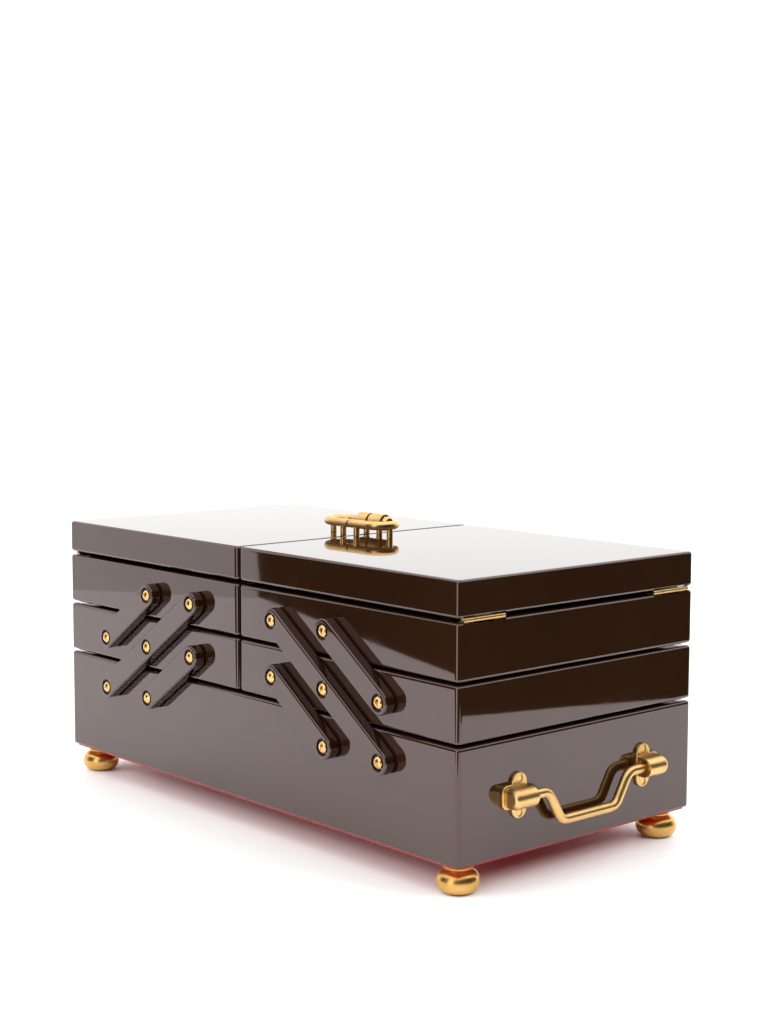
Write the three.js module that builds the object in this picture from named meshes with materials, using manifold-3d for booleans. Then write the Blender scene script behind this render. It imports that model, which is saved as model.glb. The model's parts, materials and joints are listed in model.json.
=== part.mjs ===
// A sewing box with cantilever trays: a tall base on four bun feet and, on it, a left and a right
// column of two trays and a lid. Three arms on each face of each column carry its trays outwards.
// Millimetres. X runs along the box, -Y is the front, +Z is up, and z = 0 is the table.
import * as THREE from "three";
import { mergeVertices } from "three/addons/utils/BufferGeometryUtils.js";
import Module from "manifold-3d";

const wasm = await Module();
wasm.setup();

// ---- Driving dimensions ----

// Lacquered boxes
const LENGTH = 400;
const DEPTH = 200;
const FOOT_HEIGHT = 17.5;
const BASE_BOTTOM = 18.5;
const BASE_TOP = 86.2;
const TRAY_HEIGHT = 33.1;
const TRAY_GAP = 1.6;
const LID_GAP = 2.4;
const LID_HEIGHT = 21.4;
const LID_TOP_THICKNESS = 5;
const JOIN_GAP = 1.5;
const WALL = 8;
const EDGE_ROUNDING = 2;
const CORNER_RADIUS = 3;

// Bottom panels
const BASE_PANEL_INSET = 1.8;
const BASE_PANEL_TOP = 22.5;
const TRAY_FLOOR = 4;
const TRAY_REBATE = 3;
const FIT = 0.2;

// Arms and their pivots
const PIVOT_X = 42.9;
const PIVOT_PITCH = 49.6;
const BASE_PIVOT_Z = 69.3;
const TRAY_PITCH = TRAY_HEIGHT + TRAY_GAP;
const ARM_WIDTH = 15;
const ARM_THICKNESS = 7.2;
const ARM_STANDOFF = 1;
const ARM_EDGE = 0.9;
const ARM_BORE_RADIUS = 2.3;
const ARM_SINK_RADIUS = 5.2;
const ARM_SINK_DEPTH = 2.2;

// Shoulder screws, joined by a nut strip let into the inside of the wall
const SHANK_RADIUS = 2;
const SHOULDER_RADIUS = 2.6;
const WALL_BORE_RADIUS = 2.9;
const HEAD_RADIUS = 3.55;
const HEAD_CROWN = 1.5;
const HEAD_STANDOUT = 1.1;
const HEAD_DOME_RADIUS = 2.1;
const HEAD_DOME_FALL = 0.3;
const STRIP_THICKNESS = 2;
const STRIP_HEIGHT = 10;
const STRIP_OVERHANG = 6;

// Bun feet
const FOOT_INSET = 14.3;
const BUN_RADIUS = 12.8;
const BUN_HALF_HEIGHT = 6.9;
const BUN_SECTION = 6.2;
const FOOT_NECK_RADIUS = 8.4;
const FOOT_NECK_Z = 14.3;
const FOOT_COLLAR_RADIUS = 9.4;
const FOOT_COLLAR_Z = 15.6;

// Bail handles and their brackets
const BAIL_Z = 53;
const BAIL_OUT = 6.2;
const BAIL_DROP = 18.8;
const BAIL_ROD = 3;
const BAIL_STUB_END = 60;
const BAIL_UPPER_BEND = 34.8;
const BAIL_LOWER_BEND = 23.4;
const BAIL_BEND = 5;
const PLATE_THICKNESS = 1.9;
const LUG_Y = 53.4;
const LUG_WIDTH = 11.7;
const LUG_HEIGHT = 26.6;
const FLANGE_INNER = 47;
const FLANGE_OUTER = 67;
const FLANGE_HEIGHT = 14;
const FLANGE_CORNER = 4;
const HOOD_INNER = 48;
const HOOD_OUTER = 65.3;
const HOOD_ROUNDING = 3.5;
const HOOD_HALF_HEIGHT = 6.1;
const HOOD_REACH = 13;
const SOCKET_RADIUS = 3.4;
const SOCKET_DEPTH = 13;
const MOUTH_RADIUS = 4.6;
const MOUTH_DEPTH = 1.5;

// Lid hinges
const HINGE_X = 198.4;
const HINGE_OUTER_Y = 95.5;
const HINGE_LENGTH = 32;
const KNUCKLE_RADIUS = 1.5;
const KNUCKLE_LENGTH = 8.5;
const LEAF_THICKNESS = 1;
const LEAF_INNER_X = 192.6;
const LEAF_OUTER_X = 196.3;
const HINGE_PIN_RADIUS = 0.6;
const HINGE_BORE_RADIUS = 0.85;
const HINGE_WEB = 0.5;

// Clasp: an oval gallery rail on round pillars, split at the join, with a barrel bolt behind
const CLASP_Y = 1.6;
const RAIL_RADIUS = 2.8;
const RAIL_HEIGHT = 8.4;
const RAIL_HALF_LENGTH = 28.6;
const RAIL_HALF_WIDTH = 9.9;
const RAIL_SPLIT = 0.6;
const RAIL_REAR_ANGLE = Math.PI * 0.3;
const PILLAR_RADIUS = 2.1;
const PILLAR_X = 6.75;
const BARREL_RADIUS = 5.5;
const KEEPER_FROM = -11;
const KEEPER_TO = -1;
const KEEPER_DEPTH = 7;
const GUIDE_FROM = 0.8;
const GUIDE_TO = 13.1;
const GUIDE_CUP_FROM = 6.9;
const GUIDE_CUP_RADIUS = 4.75;
const BOLT_BORE_RADIUS = 2.7;
const BOLT_RADIUS = 1.6;
const BOLT_TIP = 1.2;
const KNOB_FROM = 13.4;
const KNOB_TAPER_FROM = 16;
const KNOB_TO = 17.4;
const KNOB_RADIUS = 4.4;
const KNOB_END_RADIUS = 3.4;

// ---- Derived levels ----

const HALF_LENGTH = LENGTH / 2;
const HALF_DEPTH = DEPTH / 2;
const COLUMN_INNER = JOIN_GAP / 2;
const LOWER_TRAY_Z = BASE_TOP + TRAY_GAP;
const UPPER_TRAY_Z = LOWER_TRAY_Z + TRAY_PITCH;
const UPPER_TRAY_TOP = UPPER_TRAY_Z + TRAY_HEIGHT;
const LID_Z = UPPER_TRAY_TOP + LID_GAP;
const LID_TOP = LID_Z + LID_HEIGHT;
const HINGE_Z = UPPER_TRAY_TOP + LID_GAP / 2;
const RAIL_Z = LID_TOP + RAIL_HEIGHT;
const BOLT_Y = CLASP_Y + RAIL_HALF_WIDTH;
const INNER_WALL_Y = HALF_DEPTH - WALL;
const ARM_LEAN = Math.atan2(TRAY_PITCH, PIVOT_PITCH);
const ARM_STEP = Math.hypot(PIVOT_PITCH, TRAY_PITCH);
const PIVOTS_X = [0, 1, 2].map((step) => PIVOT_X + step * PIVOT_PITCH);
const PIVOTS_Z = [0, 1, 2].map((step) => BASE_PIVOT_Z + step * TRAY_PITCH);

// ---- Materials ----

function finish(color, roughness, metalness) {
  return new THREE.MeshStandardMaterial({ color, roughness, metalness });
}

const brownLacquer = finish(0x38251c, 0.08, 0);
const redLacquer = finish(0xb0201a, 0.15, 0);
const brass = finish(0xc99a3d, 0.3, 1);

// ---- Geometry helpers ----

// A closed geometry as a solid that can be cut and joined.
function solidOf(geometry) {
  const plain = geometry.clone();
  plain.deleteAttribute("normal");
  plain.deleteAttribute("uv");
  const merged = mergeVertices(plain);
  const vertProperties = merged.attributes.position.array;
  const triVerts = new Uint32Array(merged.index.array);
  return new wasm.Manifold(new wasm.Mesh({ numProp: 3, vertProperties, triVerts }));
}

// A solid as a geometry that a mesh can show.
function geometryOf(solid) {
  const { vertProperties, triVerts } = solid.getMesh();
  const geometry = new THREE.BufferGeometry();
  geometry.setAttribute("position", new THREE.BufferAttribute(vertProperties, 3));
  geometry.setIndex(new THREE.BufferAttribute(triVerts, 1));
  geometry.computeVertexNormals();
  return geometry;
}

function joined(...geometries) {
  return geometries.map(solidOf).reduce((whole, piece) => whole.add(piece));
}

function cutBy(solid, ...cutters) {
  return cutters.map(solidOf).reduce((left, cutter) => left.subtract(cutter), solid);
}

// A copy of an indexed geometry mirrored in X, Y or both, with its faces still outwards.
function mirrored(geometry, side, face) {
  const copy = geometry.clone().scale(side, face, 1);
  if (side * face < 0) copy.setIndex(Array.from(copy.index.array).reverse());
  return copy;
}

function boxBetween([x0, x1], [y0, y1], [z0, z1]) {
  const box = new THREE.BoxGeometry(x1 - x0, y1 - y0, z1 - z0);
  return box.translate((x0 + x1) / 2, (y0 + y1) / 2, (z0 + z1) / 2);
}

// A round bar from one value to another along Y, X or Z, centred on the other two coordinates.
function barY(radius, [y0, y1], x, z, sides = 8) {
  return new THREE.CylinderGeometry(radius, radius, y1 - y0, sides).translate(x, (y0 + y1) / 2, z);
}

function barX(radius, [x0, x1], y, z, sides = 8) {
  const bar = new THREE.CylinderGeometry(radius, radius, x1 - x0, sides).rotateZ(-Math.PI / 2);
  return bar.translate((x0 + x1) / 2, y, z);
}

function barZ(radius, [z0, z1], x, y, sides = 8) {
  const bar = new THREE.CylinderGeometry(radius, radius, z1 - z0, sides).rotateX(Math.PI / 2);
  return bar.translate(x, y, (z0 + z1) / 2);
}

function roundedRectangle([x0, x1], [y0, y1], radius) {
  const shape = new THREE.Shape();
  shape.absarc(x1 - radius, y1 - radius, radius, 0, Math.PI / 2);
  shape.absarc(x0 + radius, y1 - radius, radius, Math.PI / 2, Math.PI);
  shape.absarc(x0 + radius, y0 + radius, radius, Math.PI, Math.PI * 1.5);
  shape.absarc(x1 - radius, y0 + radius, radius, Math.PI * 1.5, Math.PI * 2);
  return shape;
}

// A lacquered block with rounded upright corners and rounded top and bottom edges.
function roundedBlock(xs, ys, [z0, z1]) {
  const block = new THREE.ExtrudeGeometry(roundedRectangle(xs, ys, CORNER_RADIUS), {
    depth: z1 - z0 - 2 * EDGE_ROUNDING,
    curveSegments: 2,
    bevelThickness: EDGE_ROUNDING,
    bevelSize: EDGE_ROUNDING,
    bevelOffset: -EDGE_ROUNDING,
    bevelSegments: 2,
  });
  return block.translate(0, 0, z0 + EDGE_ROUNDING);
}

function flatPlate(shape, thickness) {
  return new THREE.ExtrudeGeometry(shape, { depth: thickness, curveSegments: 3, bevelEnabled: false });
}

// A flat path placed in space, for a rod to follow.
class PlacedCurve extends THREE.Curve {
  constructor(path, place) {
    super();
    this.path = path;
    this.place = place;
  }

  getPoint(t) {
    return this.place(this.path.getPointAt(t));
  }
}

function rodAlong(path, place, radius, steps) {
  const section = new THREE.Shape().absarc(0, 0, radius, 0, Math.PI * 2);
  const extrudePath = new PlacedCurve(path, place);
  return new THREE.ExtrudeGeometry(section, { extrudePath, steps, curveSegments: 4 });
}

// ---- Arms and pivot screws, drawn for the right front corner ----

// An arm with its first pivot at the origin and the others along +X, standing out along -Y.
function makeArm(pivots) {
  const reach = ARM_STEP * (pivots - 1);
  const outline = new THREE.Shape();
  outline.absarc(reach, 0, ARM_WIDTH / 2, -Math.PI / 2, Math.PI / 2);
  outline.absarc(0, 0, ARM_WIDTH / 2, Math.PI / 2, Math.PI * 1.5);
  const bar = new THREE.ExtrudeGeometry(outline, {
    depth: ARM_THICKNESS - 2 * ARM_EDGE,
    curveSegments: 4,
    bevelThickness: ARM_EDGE,
    bevelSize: ARM_EDGE,
    bevelOffset: -ARM_EDGE,
    bevelSegments: 1,
  });
  bar.translate(0, 0, ARM_EDGE).rotateX(Math.PI / 2);
  const holes = [];
  for (let pivot = 0; pivot < pivots; pivot += 1) {
    const x = pivot * ARM_STEP;
    holes.push(barY(ARM_BORE_RADIUS, [-ARM_THICKNESS - 1, 1], x, 0));
    holes.push(barY(ARM_SINK_RADIUS, [-ARM_THICKNESS - 1, ARM_SINK_DEPTH - ARM_THICKNESS], x, 0, 12));
  }
  return geometryOf(cutBy(solidOf(bar), ...holes));
}

// One shoulder screw along -Y, from inside its nut strip to the crown of its head.
function pivotScrew(x, z) {
  const shoulder = HALF_DEPTH + ARM_STANDOFF - FIT;
  const seat = HALF_DEPTH + ARM_STANDOFF + ARM_THICKNESS - ARM_SINK_DEPTH + FIT;
  const crown = HALF_DEPTH + ARM_STANDOFF + ARM_THICKNESS + HEAD_STANDOUT;
  const profile = [
    [0, INNER_WALL_Y + STRIP_THICKNESS / 2],
    [SHOULDER_RADIUS, INNER_WALL_Y + STRIP_THICKNESS / 2],
    [SHOULDER_RADIUS, shoulder],
    [SHANK_RADIUS, shoulder],
    [SHANK_RADIUS, seat],
    [HEAD_RADIUS, seat],
    [HEAD_RADIUS, crown - HEAD_CROWN],
    [HEAD_DOME_RADIUS, crown - HEAD_DOME_FALL],
    [0, crown],
  ];
  const points = profile.map(([radius, outwards]) => new THREE.Vector2(radius, outwards));
  return new THREE.LatheGeometry(points, 8).rotateX(Math.PI).translate(x, 0, z);
}

function stripBox(pivotsX, z, grow) {
  const reach = STRIP_OVERHANG + grow;
  const xs = [pivotsX[0] - reach, pivotsX[pivotsX.length - 1] + reach];
  const ys = [-INNER_WALL_Y - STRIP_THICKNESS - grow, -INNER_WALL_Y];
  return boxBetween(xs, ys, [z - STRIP_HEIGHT / 2 - grow, z + STRIP_HEIGHT / 2 + grow]);
}

function makeScrews(pivotsX, z) {
  const screws = pivotsX.map((x) => pivotScrew(x, z));
  return geometryOf(joined(stripBox(pivotsX, z, 0), ...screws));
}

// What one corner's screws and strip need cut out of a wall.
function pivotCutters(pivotsX, z) {
  const bores = pivotsX.map((x) => barY(WALL_BORE_RADIUS, [-HALF_DEPTH - 1, FIT - INNER_WALL_Y], x, z));
  return [stripBox(pivotsX, z, FIT), ...bores];
}

// ---- Boxes ----

// The four walls of a box: a rounded block with the middle taken out.
function walls(xs, zs, middleZs = [zs[0] - 1, zs[1] + 1]) {
  const block = solidOf(roundedBlock(xs, [-HALF_DEPTH, HALF_DEPTH], zs));
  const middle = boxBetween([xs[0] + WALL, xs[1] - WALL], [-INNER_WALL_Y, INNER_WALL_Y], middleZs);
  return cutBy(block, middle);
}

const atFaces = (cutters) => [1, -1].flatMap((face) => cutters.map((cutter) => mirrored(cutter, 1, face)));

function makeBaseCase() {
  const corner = pivotCutters(PIVOTS_X.slice(1), PIVOTS_Z[0]);
  const cutters = atFaces(corner);
  const bothSides = [1, -1].flatMap((side) => cutters.map((cutter) => mirrored(cutter, side, 1)));
  return geometryOf(cutBy(walls([-HALF_LENGTH, HALF_LENGTH], [BASE_BOTTOM, BASE_TOP]), ...bothSides));
}

// The red bottom: a lip under the case walls, and a raised middle let in between them.
function makeBasePanel() {
  const lipX = HALF_LENGTH - BASE_PANEL_INSET;
  const lipY = HALF_DEPTH - BASE_PANEL_INSET;
  const lipThickness = BASE_BOTTOM - FOOT_HEIGHT - FIT / 2;
  const lip = flatPlate(roundedRectangle([-lipX, lipX], [-lipY, lipY], CORNER_RADIUS), lipThickness);
  const middleX = HALF_LENGTH - WALL - FIT;
  const middleY = INNER_WALL_Y - FIT;
  const middle = boxBetween([-middleX, middleX], [-middleY, middleY], [FOOT_HEIGHT, BASE_PANEL_TOP]);
  return geometryOf(joined(lip.translate(0, 0, FOOT_HEIGHT), middle));
}

// The sunk seat of one front hinge leaf, open to the end face, from one level to another.
function hingeSeat(zs) {
  const ys = [-HINGE_OUTER_Y - FIT, HINGE_LENGTH - HINGE_OUTER_Y + FIT];
  return boxBetween([LEAF_INNER_X - FIT, HALF_LENGTH + 1], ys, zs);
}

function makeTray(z, pivotsX, pivotZ, hasLid) {
  const cutters = atFaces(pivotCutters(pivotsX, pivotZ));
  const rebateX = [COLUMN_INNER + WALL - TRAY_REBATE, HALF_LENGTH - WALL + TRAY_REBATE];
  const rebateY = INNER_WALL_Y + TRAY_REBATE;
  cutters.push(boxBetween(rebateX, [-rebateY, rebateY], [z - 1, z + TRAY_FLOOR + 2 * FIT]));
  if (hasLid) cutters.push(...atFaces([hingeSeat([HINGE_Z - LID_GAP / 2 - LEAF_THICKNESS - FIT, HINGE_Z])]));
  return geometryOf(cutBy(walls([COLUMN_INNER, HALF_LENGTH], [z, z + TRAY_HEIGHT]), ...cutters));
}

function makeTrayBottom(z) {
  const margin = WALL - TRAY_REBATE + FIT;
  const y = HALF_DEPTH - margin;
  return boxBetween([COLUMN_INNER + margin, HALF_LENGTH - margin], [-y, y], [z + FIT, z + FIT + TRAY_FLOOR]);
}

function makeLid() {
  const hollow = [LID_Z - 1, LID_TOP - LID_TOP_THICKNESS];
  const seats = atFaces([hingeSeat([HINGE_Z, HINGE_Z + LID_GAP / 2 + LEAF_THICKNESS + FIT])]);
  return geometryOf(cutBy(walls([COLUMN_INNER, HALF_LENGTH], [LID_Z, LID_TOP], hollow), ...seats));
}

// ---- Feet ----

// A bun with a flat underside, a narrow neck and a collar under the bottom panel.
function makeFoot() {
  const outline = new THREE.Path();
  outline.moveTo(0, 0);
  outline.lineTo(BUN_SECTION, 0);
  const bulge = BUN_RADIUS - BUN_SECTION;
  outline.absellipse(BUN_SECTION, BUN_HALF_HEIGHT, bulge, BUN_HALF_HEIGHT, -Math.PI / 2, Math.PI / 3);
  outline.lineTo(FOOT_NECK_RADIUS, FOOT_NECK_Z);
  outline.lineTo(FOOT_COLLAR_RADIUS, FOOT_COLLAR_Z);
  outline.lineTo(FOOT_COLLAR_RADIUS, FOOT_HEIGHT - FIT / 2);
  outline.lineTo(0, FOOT_HEIGHT - FIT / 2);
  return new THREE.LatheGeometry(outline.getPoints(3), 16).rotateX(Math.PI / 2);
}

// ---- Bail handle and bracket, drawn for the right end ----

// A rod from socket to socket, with a hanging grip between two sloping legs.
function makeBail() {
  const corners = [
    [-BAIL_STUB_END, 0],
    [-BAIL_UPPER_BEND, 0],
    [-BAIL_LOWER_BEND, -BAIL_DROP],
    [BAIL_LOWER_BEND, -BAIL_DROP],
    [BAIL_UPPER_BEND, 0],
    [BAIL_STUB_END, 0],
  ].map(([y, z]) => new THREE.Vector2(y, z));
  const path = new THREE.Path();
  path.moveTo(corners[0].x, corners[0].y);
  for (let index = 1; index < corners.length - 1; index += 1) {
    const corner = corners[index];
    const before = corners[index - 1].clone().sub(corner).setLength(BAIL_BEND).add(corner);
    const after = corners[index + 1].clone().sub(corner).setLength(BAIL_BEND).add(corner);
    path.lineTo(before.x, before.y);
    path.quadraticCurveTo(corner.x, corner.y, after.x, after.y);
  }
  path.lineTo(BAIL_STUB_END, 0);
  const place = (point) => new THREE.Vector3(HALF_LENGTH + BAIL_OUT, point.x, BAIL_Z + point.y);
  return rodAlong(path, place, BAIL_ROD, 30);
}

// A flat shape drawn as (depth along -Z, Y) and given its thickness outwards from the end wall.
function endPlate(shape) {
  return flatPlate(shape, PLATE_THICKNESS).rotateY(Math.PI / 2).translate(HALF_LENGTH + FIT / 2, 0, BAIL_Z);
}

// The front bracket: an upright strip with two screw lugs, a flange, and a hood with the socket.
function makeBracket() {
  const lugReach = (LUG_HEIGHT - LUG_WIDTH) / 2;
  const lugs = new THREE.Shape();
  lugs.absarc(lugReach, -LUG_Y, LUG_WIDTH / 2, -Math.PI / 2, Math.PI / 2);
  lugs.absarc(-lugReach, -LUG_Y, LUG_WIDTH / 2, Math.PI / 2, Math.PI * 1.5);
  const flangeZ = [-FLANGE_HEIGHT / 2, FLANGE_HEIGHT / 2];
  const flange = roundedRectangle(flangeZ, [-FLANGE_OUTER, -FLANGE_INNER], FLANGE_CORNER);
  const back = -BAIL_OUT - HOOD_ROUNDING;
  const profile = new THREE.Shape();
  profile.moveTo(back, -HOOD_HALF_HEIGHT);
  profile.lineTo(0, -HOOD_HALF_HEIGHT);
  profile.absellipse(0, 0, HOOD_REACH - BAIL_OUT, HOOD_HALF_HEIGHT, -Math.PI / 2, Math.PI / 2);
  profile.lineTo(back, HOOD_HALF_HEIGHT);
  const hood = new THREE.ExtrudeGeometry(profile, {
    depth: HOOD_OUTER - HOOD_INNER,
    curveSegments: 4,
    bevelThickness: HOOD_ROUNDING,
    bevelSize: HOOD_ROUNDING,
    bevelOffset: -HOOD_ROUNDING,
    bevelSegments: 3,
  });
  const axisX = HALF_LENGTH + BAIL_OUT;
  hood.rotateX(Math.PI / 2).translate(axisX, HOOD_ROUNDING - HOOD_INNER, BAIL_Z);
  const wallX = [axisX + back - 1, HALF_LENGTH + FIT / 2];
  const inWall = boxBetween(wallX, [-HALF_DEPTH, 0], [0, BAIL_Z * 2]);
  const innerEnd = boxBetween([HALF_LENGTH, axisX + HOOD_REACH], [-HOOD_INNER, 0], [0, BAIL_Z * 2]);
  const solid = cutBy(solidOf(hood), inWall, innerEnd).add(joined(endPlate(lugs), endPlate(flange)));
  const socket = barY(SOCKET_RADIUS, [-HOOD_INNER - SOCKET_DEPTH, 1 - HOOD_INNER], axisX, BAIL_Z, 12);
  const mouth = barY(MOUTH_RADIUS, [-HOOD_INNER - MOUTH_DEPTH, 1 - HOOD_INNER], axisX, BAIL_Z, 12);
  return geometryOf(cutBy(solid, socket, mouth));
}

// ---- Lid hinges, drawn for the right front one ----

const hingeSpan = (from, to) => [from - HINGE_OUTER_Y, to - HINGE_OUTER_Y];

// The leaf in the tray's rim, with the two outer knuckles and the pin.
function makeTrayLeaf() {
  const top = HINGE_Z - LID_GAP / 2 - FIT / 2;
  const ends = [hingeSpan(0, KNUCKLE_LENGTH), hingeSpan(HINGE_LENGTH - KNUCKLE_LENGTH, HINGE_LENGTH)];
  const webX = [LEAF_OUTER_X - 1, HINGE_X];
  return geometryOf(joined(
    boxBetween([LEAF_INNER_X, LEAF_OUTER_X], hingeSpan(0, HINGE_LENGTH), [top - LEAF_THICKNESS, top]),
    ...ends.map((ys) => barY(KNUCKLE_RADIUS, ys, HINGE_X, HINGE_Z, 10)),
    ...ends.map((ys) => boxBetween(webX, ys, [top - LEAF_THICKNESS, HINGE_Z - HINGE_WEB])),
    barY(HINGE_PIN_RADIUS, hingeSpan(1, HINGE_LENGTH - 1), HINGE_X, HINGE_Z, 6),
  ));
}

// The leaf in the lid's rim, with the middle knuckle.
function makeLidLeaf() {
  const bottom = HINGE_Z + LID_GAP / 2 + FIT / 2;
  const ys = hingeSpan(KNUCKLE_LENGTH + FIT, HINGE_LENGTH - KNUCKLE_LENGTH - FIT);
  const leaf = joined(
    boxBetween([LEAF_INNER_X, LEAF_OUTER_X], hingeSpan(0, HINGE_LENGTH), [bottom, bottom + LEAF_THICKNESS]),
    barY(KNUCKLE_RADIUS, ys, HINGE_X, HINGE_Z, 10),
    boxBetween([LEAF_OUTER_X - 1, HINGE_X], ys, [HINGE_Z + HINGE_WEB, bottom + LEAF_THICKNESS]),
  );
  return geometryOf(cutBy(leaf, barY(HINGE_BORE_RADIUS, hingeSpan(0, HINGE_LENGTH), HINGE_X, HINGE_Z)));
}

// ---- Clasp ----

const pillar = (x, y) => barZ(PILLAR_RADIUS, [LID_TOP + FIT / 2, RAIL_Z], x, y);

// One half of the gallery rail on two pillars. The left half runs on to the keeper barrel, and
// the right one stops behind the bolt's knob.
function makeRail(side) {
  const arcCentre = RAIL_HALF_LENGTH - RAIL_HALF_WIDTH;
  const path = new THREE.Path();
  const frontY = CLASP_Y - RAIL_HALF_WIDTH;
  path.moveTo(RAIL_SPLIT, frontY);
  path.lineTo(arcCentre, frontY);
  path.absarc(arcCentre, CLASP_Y, RAIL_HALF_WIDTH, -Math.PI / 2, side > 0 ? RAIL_REAR_ANGLE : Math.PI / 2);
  if (side < 0) path.lineTo(FIT - KEEPER_FROM, BOLT_Y);
  const place = (point) => new THREE.Vector3(side * point.x, point.y, RAIL_Z);
  const rail = rodAlong(path, place, RAIL_RADIUS, 16);
  const pillars = [pillar(side * RAIL_HALF_LENGTH, CLASP_Y), pillar(side * PILLAR_X, frontY)];
  return geometryOf(joined(rail, ...pillars));
}

function makeBarrel(xs, ...bores) {
  const tube = barX(BARREL_RADIUS, xs, BOLT_Y, RAIL_Z, 16);
  const support = pillar((xs[0] + xs[1]) / 2, BOLT_Y);
  return geometryOf(cutBy(joined(tube, support), ...bores));
}

const boltBore = (radius, xs, sides) => barX(radius, xs, BOLT_Y, RAIL_Z, sides);

// A rod with an eight-sided knob, drawn back so that its tip doesn't cross the join.
function makeBolt() {
  const profile = [
    [0, BOLT_TIP],
    [BOLT_RADIUS, BOLT_TIP],
    [BOLT_RADIUS, KNOB_FROM],
    [KNOB_RADIUS, KNOB_FROM],
    [KNOB_RADIUS, KNOB_TAPER_FROM],
    [KNOB_END_RADIUS, KNOB_TO],
    [0, KNOB_TO],
  ];
  const points = profile.map(([radius, x]) => new THREE.Vector2(radius, x));
  const bolt = new THREE.LatheGeometry(points, 8).rotateZ(-Math.PI / 2);
  return bolt.translate(0, BOLT_Y, RAIL_Z);
}

// ---- Assembly ----

const sewingBox = new THREE.Group();

function addPiece(parent, name, geometry, material) {
  const mesh = new THREE.Mesh(geometry, material);
  mesh.name = name;
  parent.add(mesh);
  return mesh;
}

addPiece(sewingBox, "base_case", makeBaseCase(), brownLacquer);
addPiece(sewingBox, "base_bottom_panel", makeBasePanel(), redLacquer);

const foot = makeFoot();
const bracket = makeBracket();
const trayLeaf = makeTrayLeaf();
const lidLeaf = makeLidLeaf();
const longArm = makeArm(3);
const shortArm = makeArm(2);
const baseScrews = makeScrews(PIVOTS_X.slice(1), PIVOTS_Z[0]);
const lowerTrayScrews = makeScrews(PIVOTS_X, PIVOTS_Z[1]);
const upperTrayScrews = makeScrews(PIVOTS_X.slice(0, 2), PIVOTS_Z[2]);

// Adds an arm whose lowest pivot is at (x, z), leaning in over the box.
function addArm(corner, name, geometry, x, z) {
  const arm = addPiece(corner, name, geometry, brownLacquer);
  arm.position.set(x, -HALF_DEPTH - ARM_STANDOFF, z);
  arm.rotation.y = ARM_LEAN - Math.PI;
}

function addCorner(name, side, face) {
  const corner = new THREE.Group();
  corner.scale.set(side, face, 1);
  const footPiece = addPiece(corner, `${name}_foot`, foot, brass);
  footPiece.position.set(HALF_LENGTH - FOOT_INSET, FOOT_INSET - HALF_DEPTH, 0);
  addArm(corner, `${name}_long_arm`, longArm, PIVOTS_X[2], PIVOTS_Z[0]);
  addArm(corner, `${name}_base_link`, shortArm, PIVOTS_X[1], PIVOTS_Z[0]);
  addArm(corner, `${name}_tray_link`, shortArm, PIVOTS_X[2], PIVOTS_Z[1]);
  addPiece(corner, `${name}_base_screws`, baseScrews, brass);
  addPiece(corner, `${name}_lower_tray_screws`, lowerTrayScrews, brass);
  addPiece(corner, `${name}_upper_tray_screws`, upperTrayScrews, brass);
  addPiece(corner, `${name}_handle_bracket`, bracket, brass);
  addPiece(corner, `${name}_hinge_tray_leaf`, trayLeaf, brass);
  addPiece(corner, `${name}_hinge_lid_leaf`, lidLeaf, brass);
  sewingBox.add(corner);
}

const lowerTray = makeTray(LOWER_TRAY_Z, PIVOTS_X, PIVOTS_Z[1], false);
const upperTray = makeTray(UPPER_TRAY_Z, PIVOTS_X.slice(0, 2), PIVOTS_Z[2], true);
const lowerTrayBottom = makeTrayBottom(LOWER_TRAY_Z);
const upperTrayBottom = makeTrayBottom(UPPER_TRAY_Z);
const lid = makeLid();
const bail = makeBail();

function addColumn(name, side) {
  const column = new THREE.Group();
  column.scale.set(side, 1, 1);
  addPiece(column, `${name}_lower_tray`, lowerTray, brownLacquer);
  addPiece(column, `${name}_lower_tray_bottom`, lowerTrayBottom, brownLacquer);
  addPiece(column, `${name}_upper_tray`, upperTray, brownLacquer);
  addPiece(column, `${name}_upper_tray_bottom`, upperTrayBottom, brownLacquer);
  addPiece(column, `${name}_lid`, lid, brownLacquer);
  addPiece(column, `${name}_bail_handle`, bail, brass);
  sewingBox.add(column);
}

for (const [sideName, side] of [["right", 1], ["left", -1]]) {
  addColumn(sideName, side);
  addCorner(`${sideName}_front`, side, 1);
  addCorner(`${sideName}_rear`, side, -1);
}

const keeperBore = boltBore(BOLT_BORE_RADIUS, [KEEPER_TO - KEEPER_DEPTH, KEEPER_TO + 1], 12);
const guideBore = boltBore(BOLT_BORE_RADIUS, [GUIDE_FROM - 1, GUIDE_TO], 12);
const guideCup = boltBore(GUIDE_CUP_RADIUS, [GUIDE_CUP_FROM, GUIDE_TO + 1], 16);
addPiece(sewingBox, "left_clasp_rail", makeRail(-1), brass);
addPiece(sewingBox, "right_clasp_rail", makeRail(1), brass);
addPiece(sewingBox, "clasp_keeper", makeBarrel([KEEPER_FROM, KEEPER_TO], keeperBore), brass);
addPiece(sewingBox, "clasp_bolt_guide", makeBarrel([GUIDE_FROM, GUIDE_TO], guideBore, guideCup), brass);
addPiece(sewingBox, "clasp_bolt", makeBolt(), brass);

export default sewingBox;
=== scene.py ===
"""Studio scene of a lacquered sewing box whose two columns of trays swing out on arms.

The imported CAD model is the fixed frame. Each class makes the finished meshes of one
sub-assembly around it, gives them their finish and lets them ride on the CAD bodies.
"""

import json
import logging
import math
from collections.abc import Callable, Sequence
from dataclasses import dataclass, field
from enum import Enum
from typing import Any

import bmesh
import bpy
from mathutils import Matrix, Vector


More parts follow.
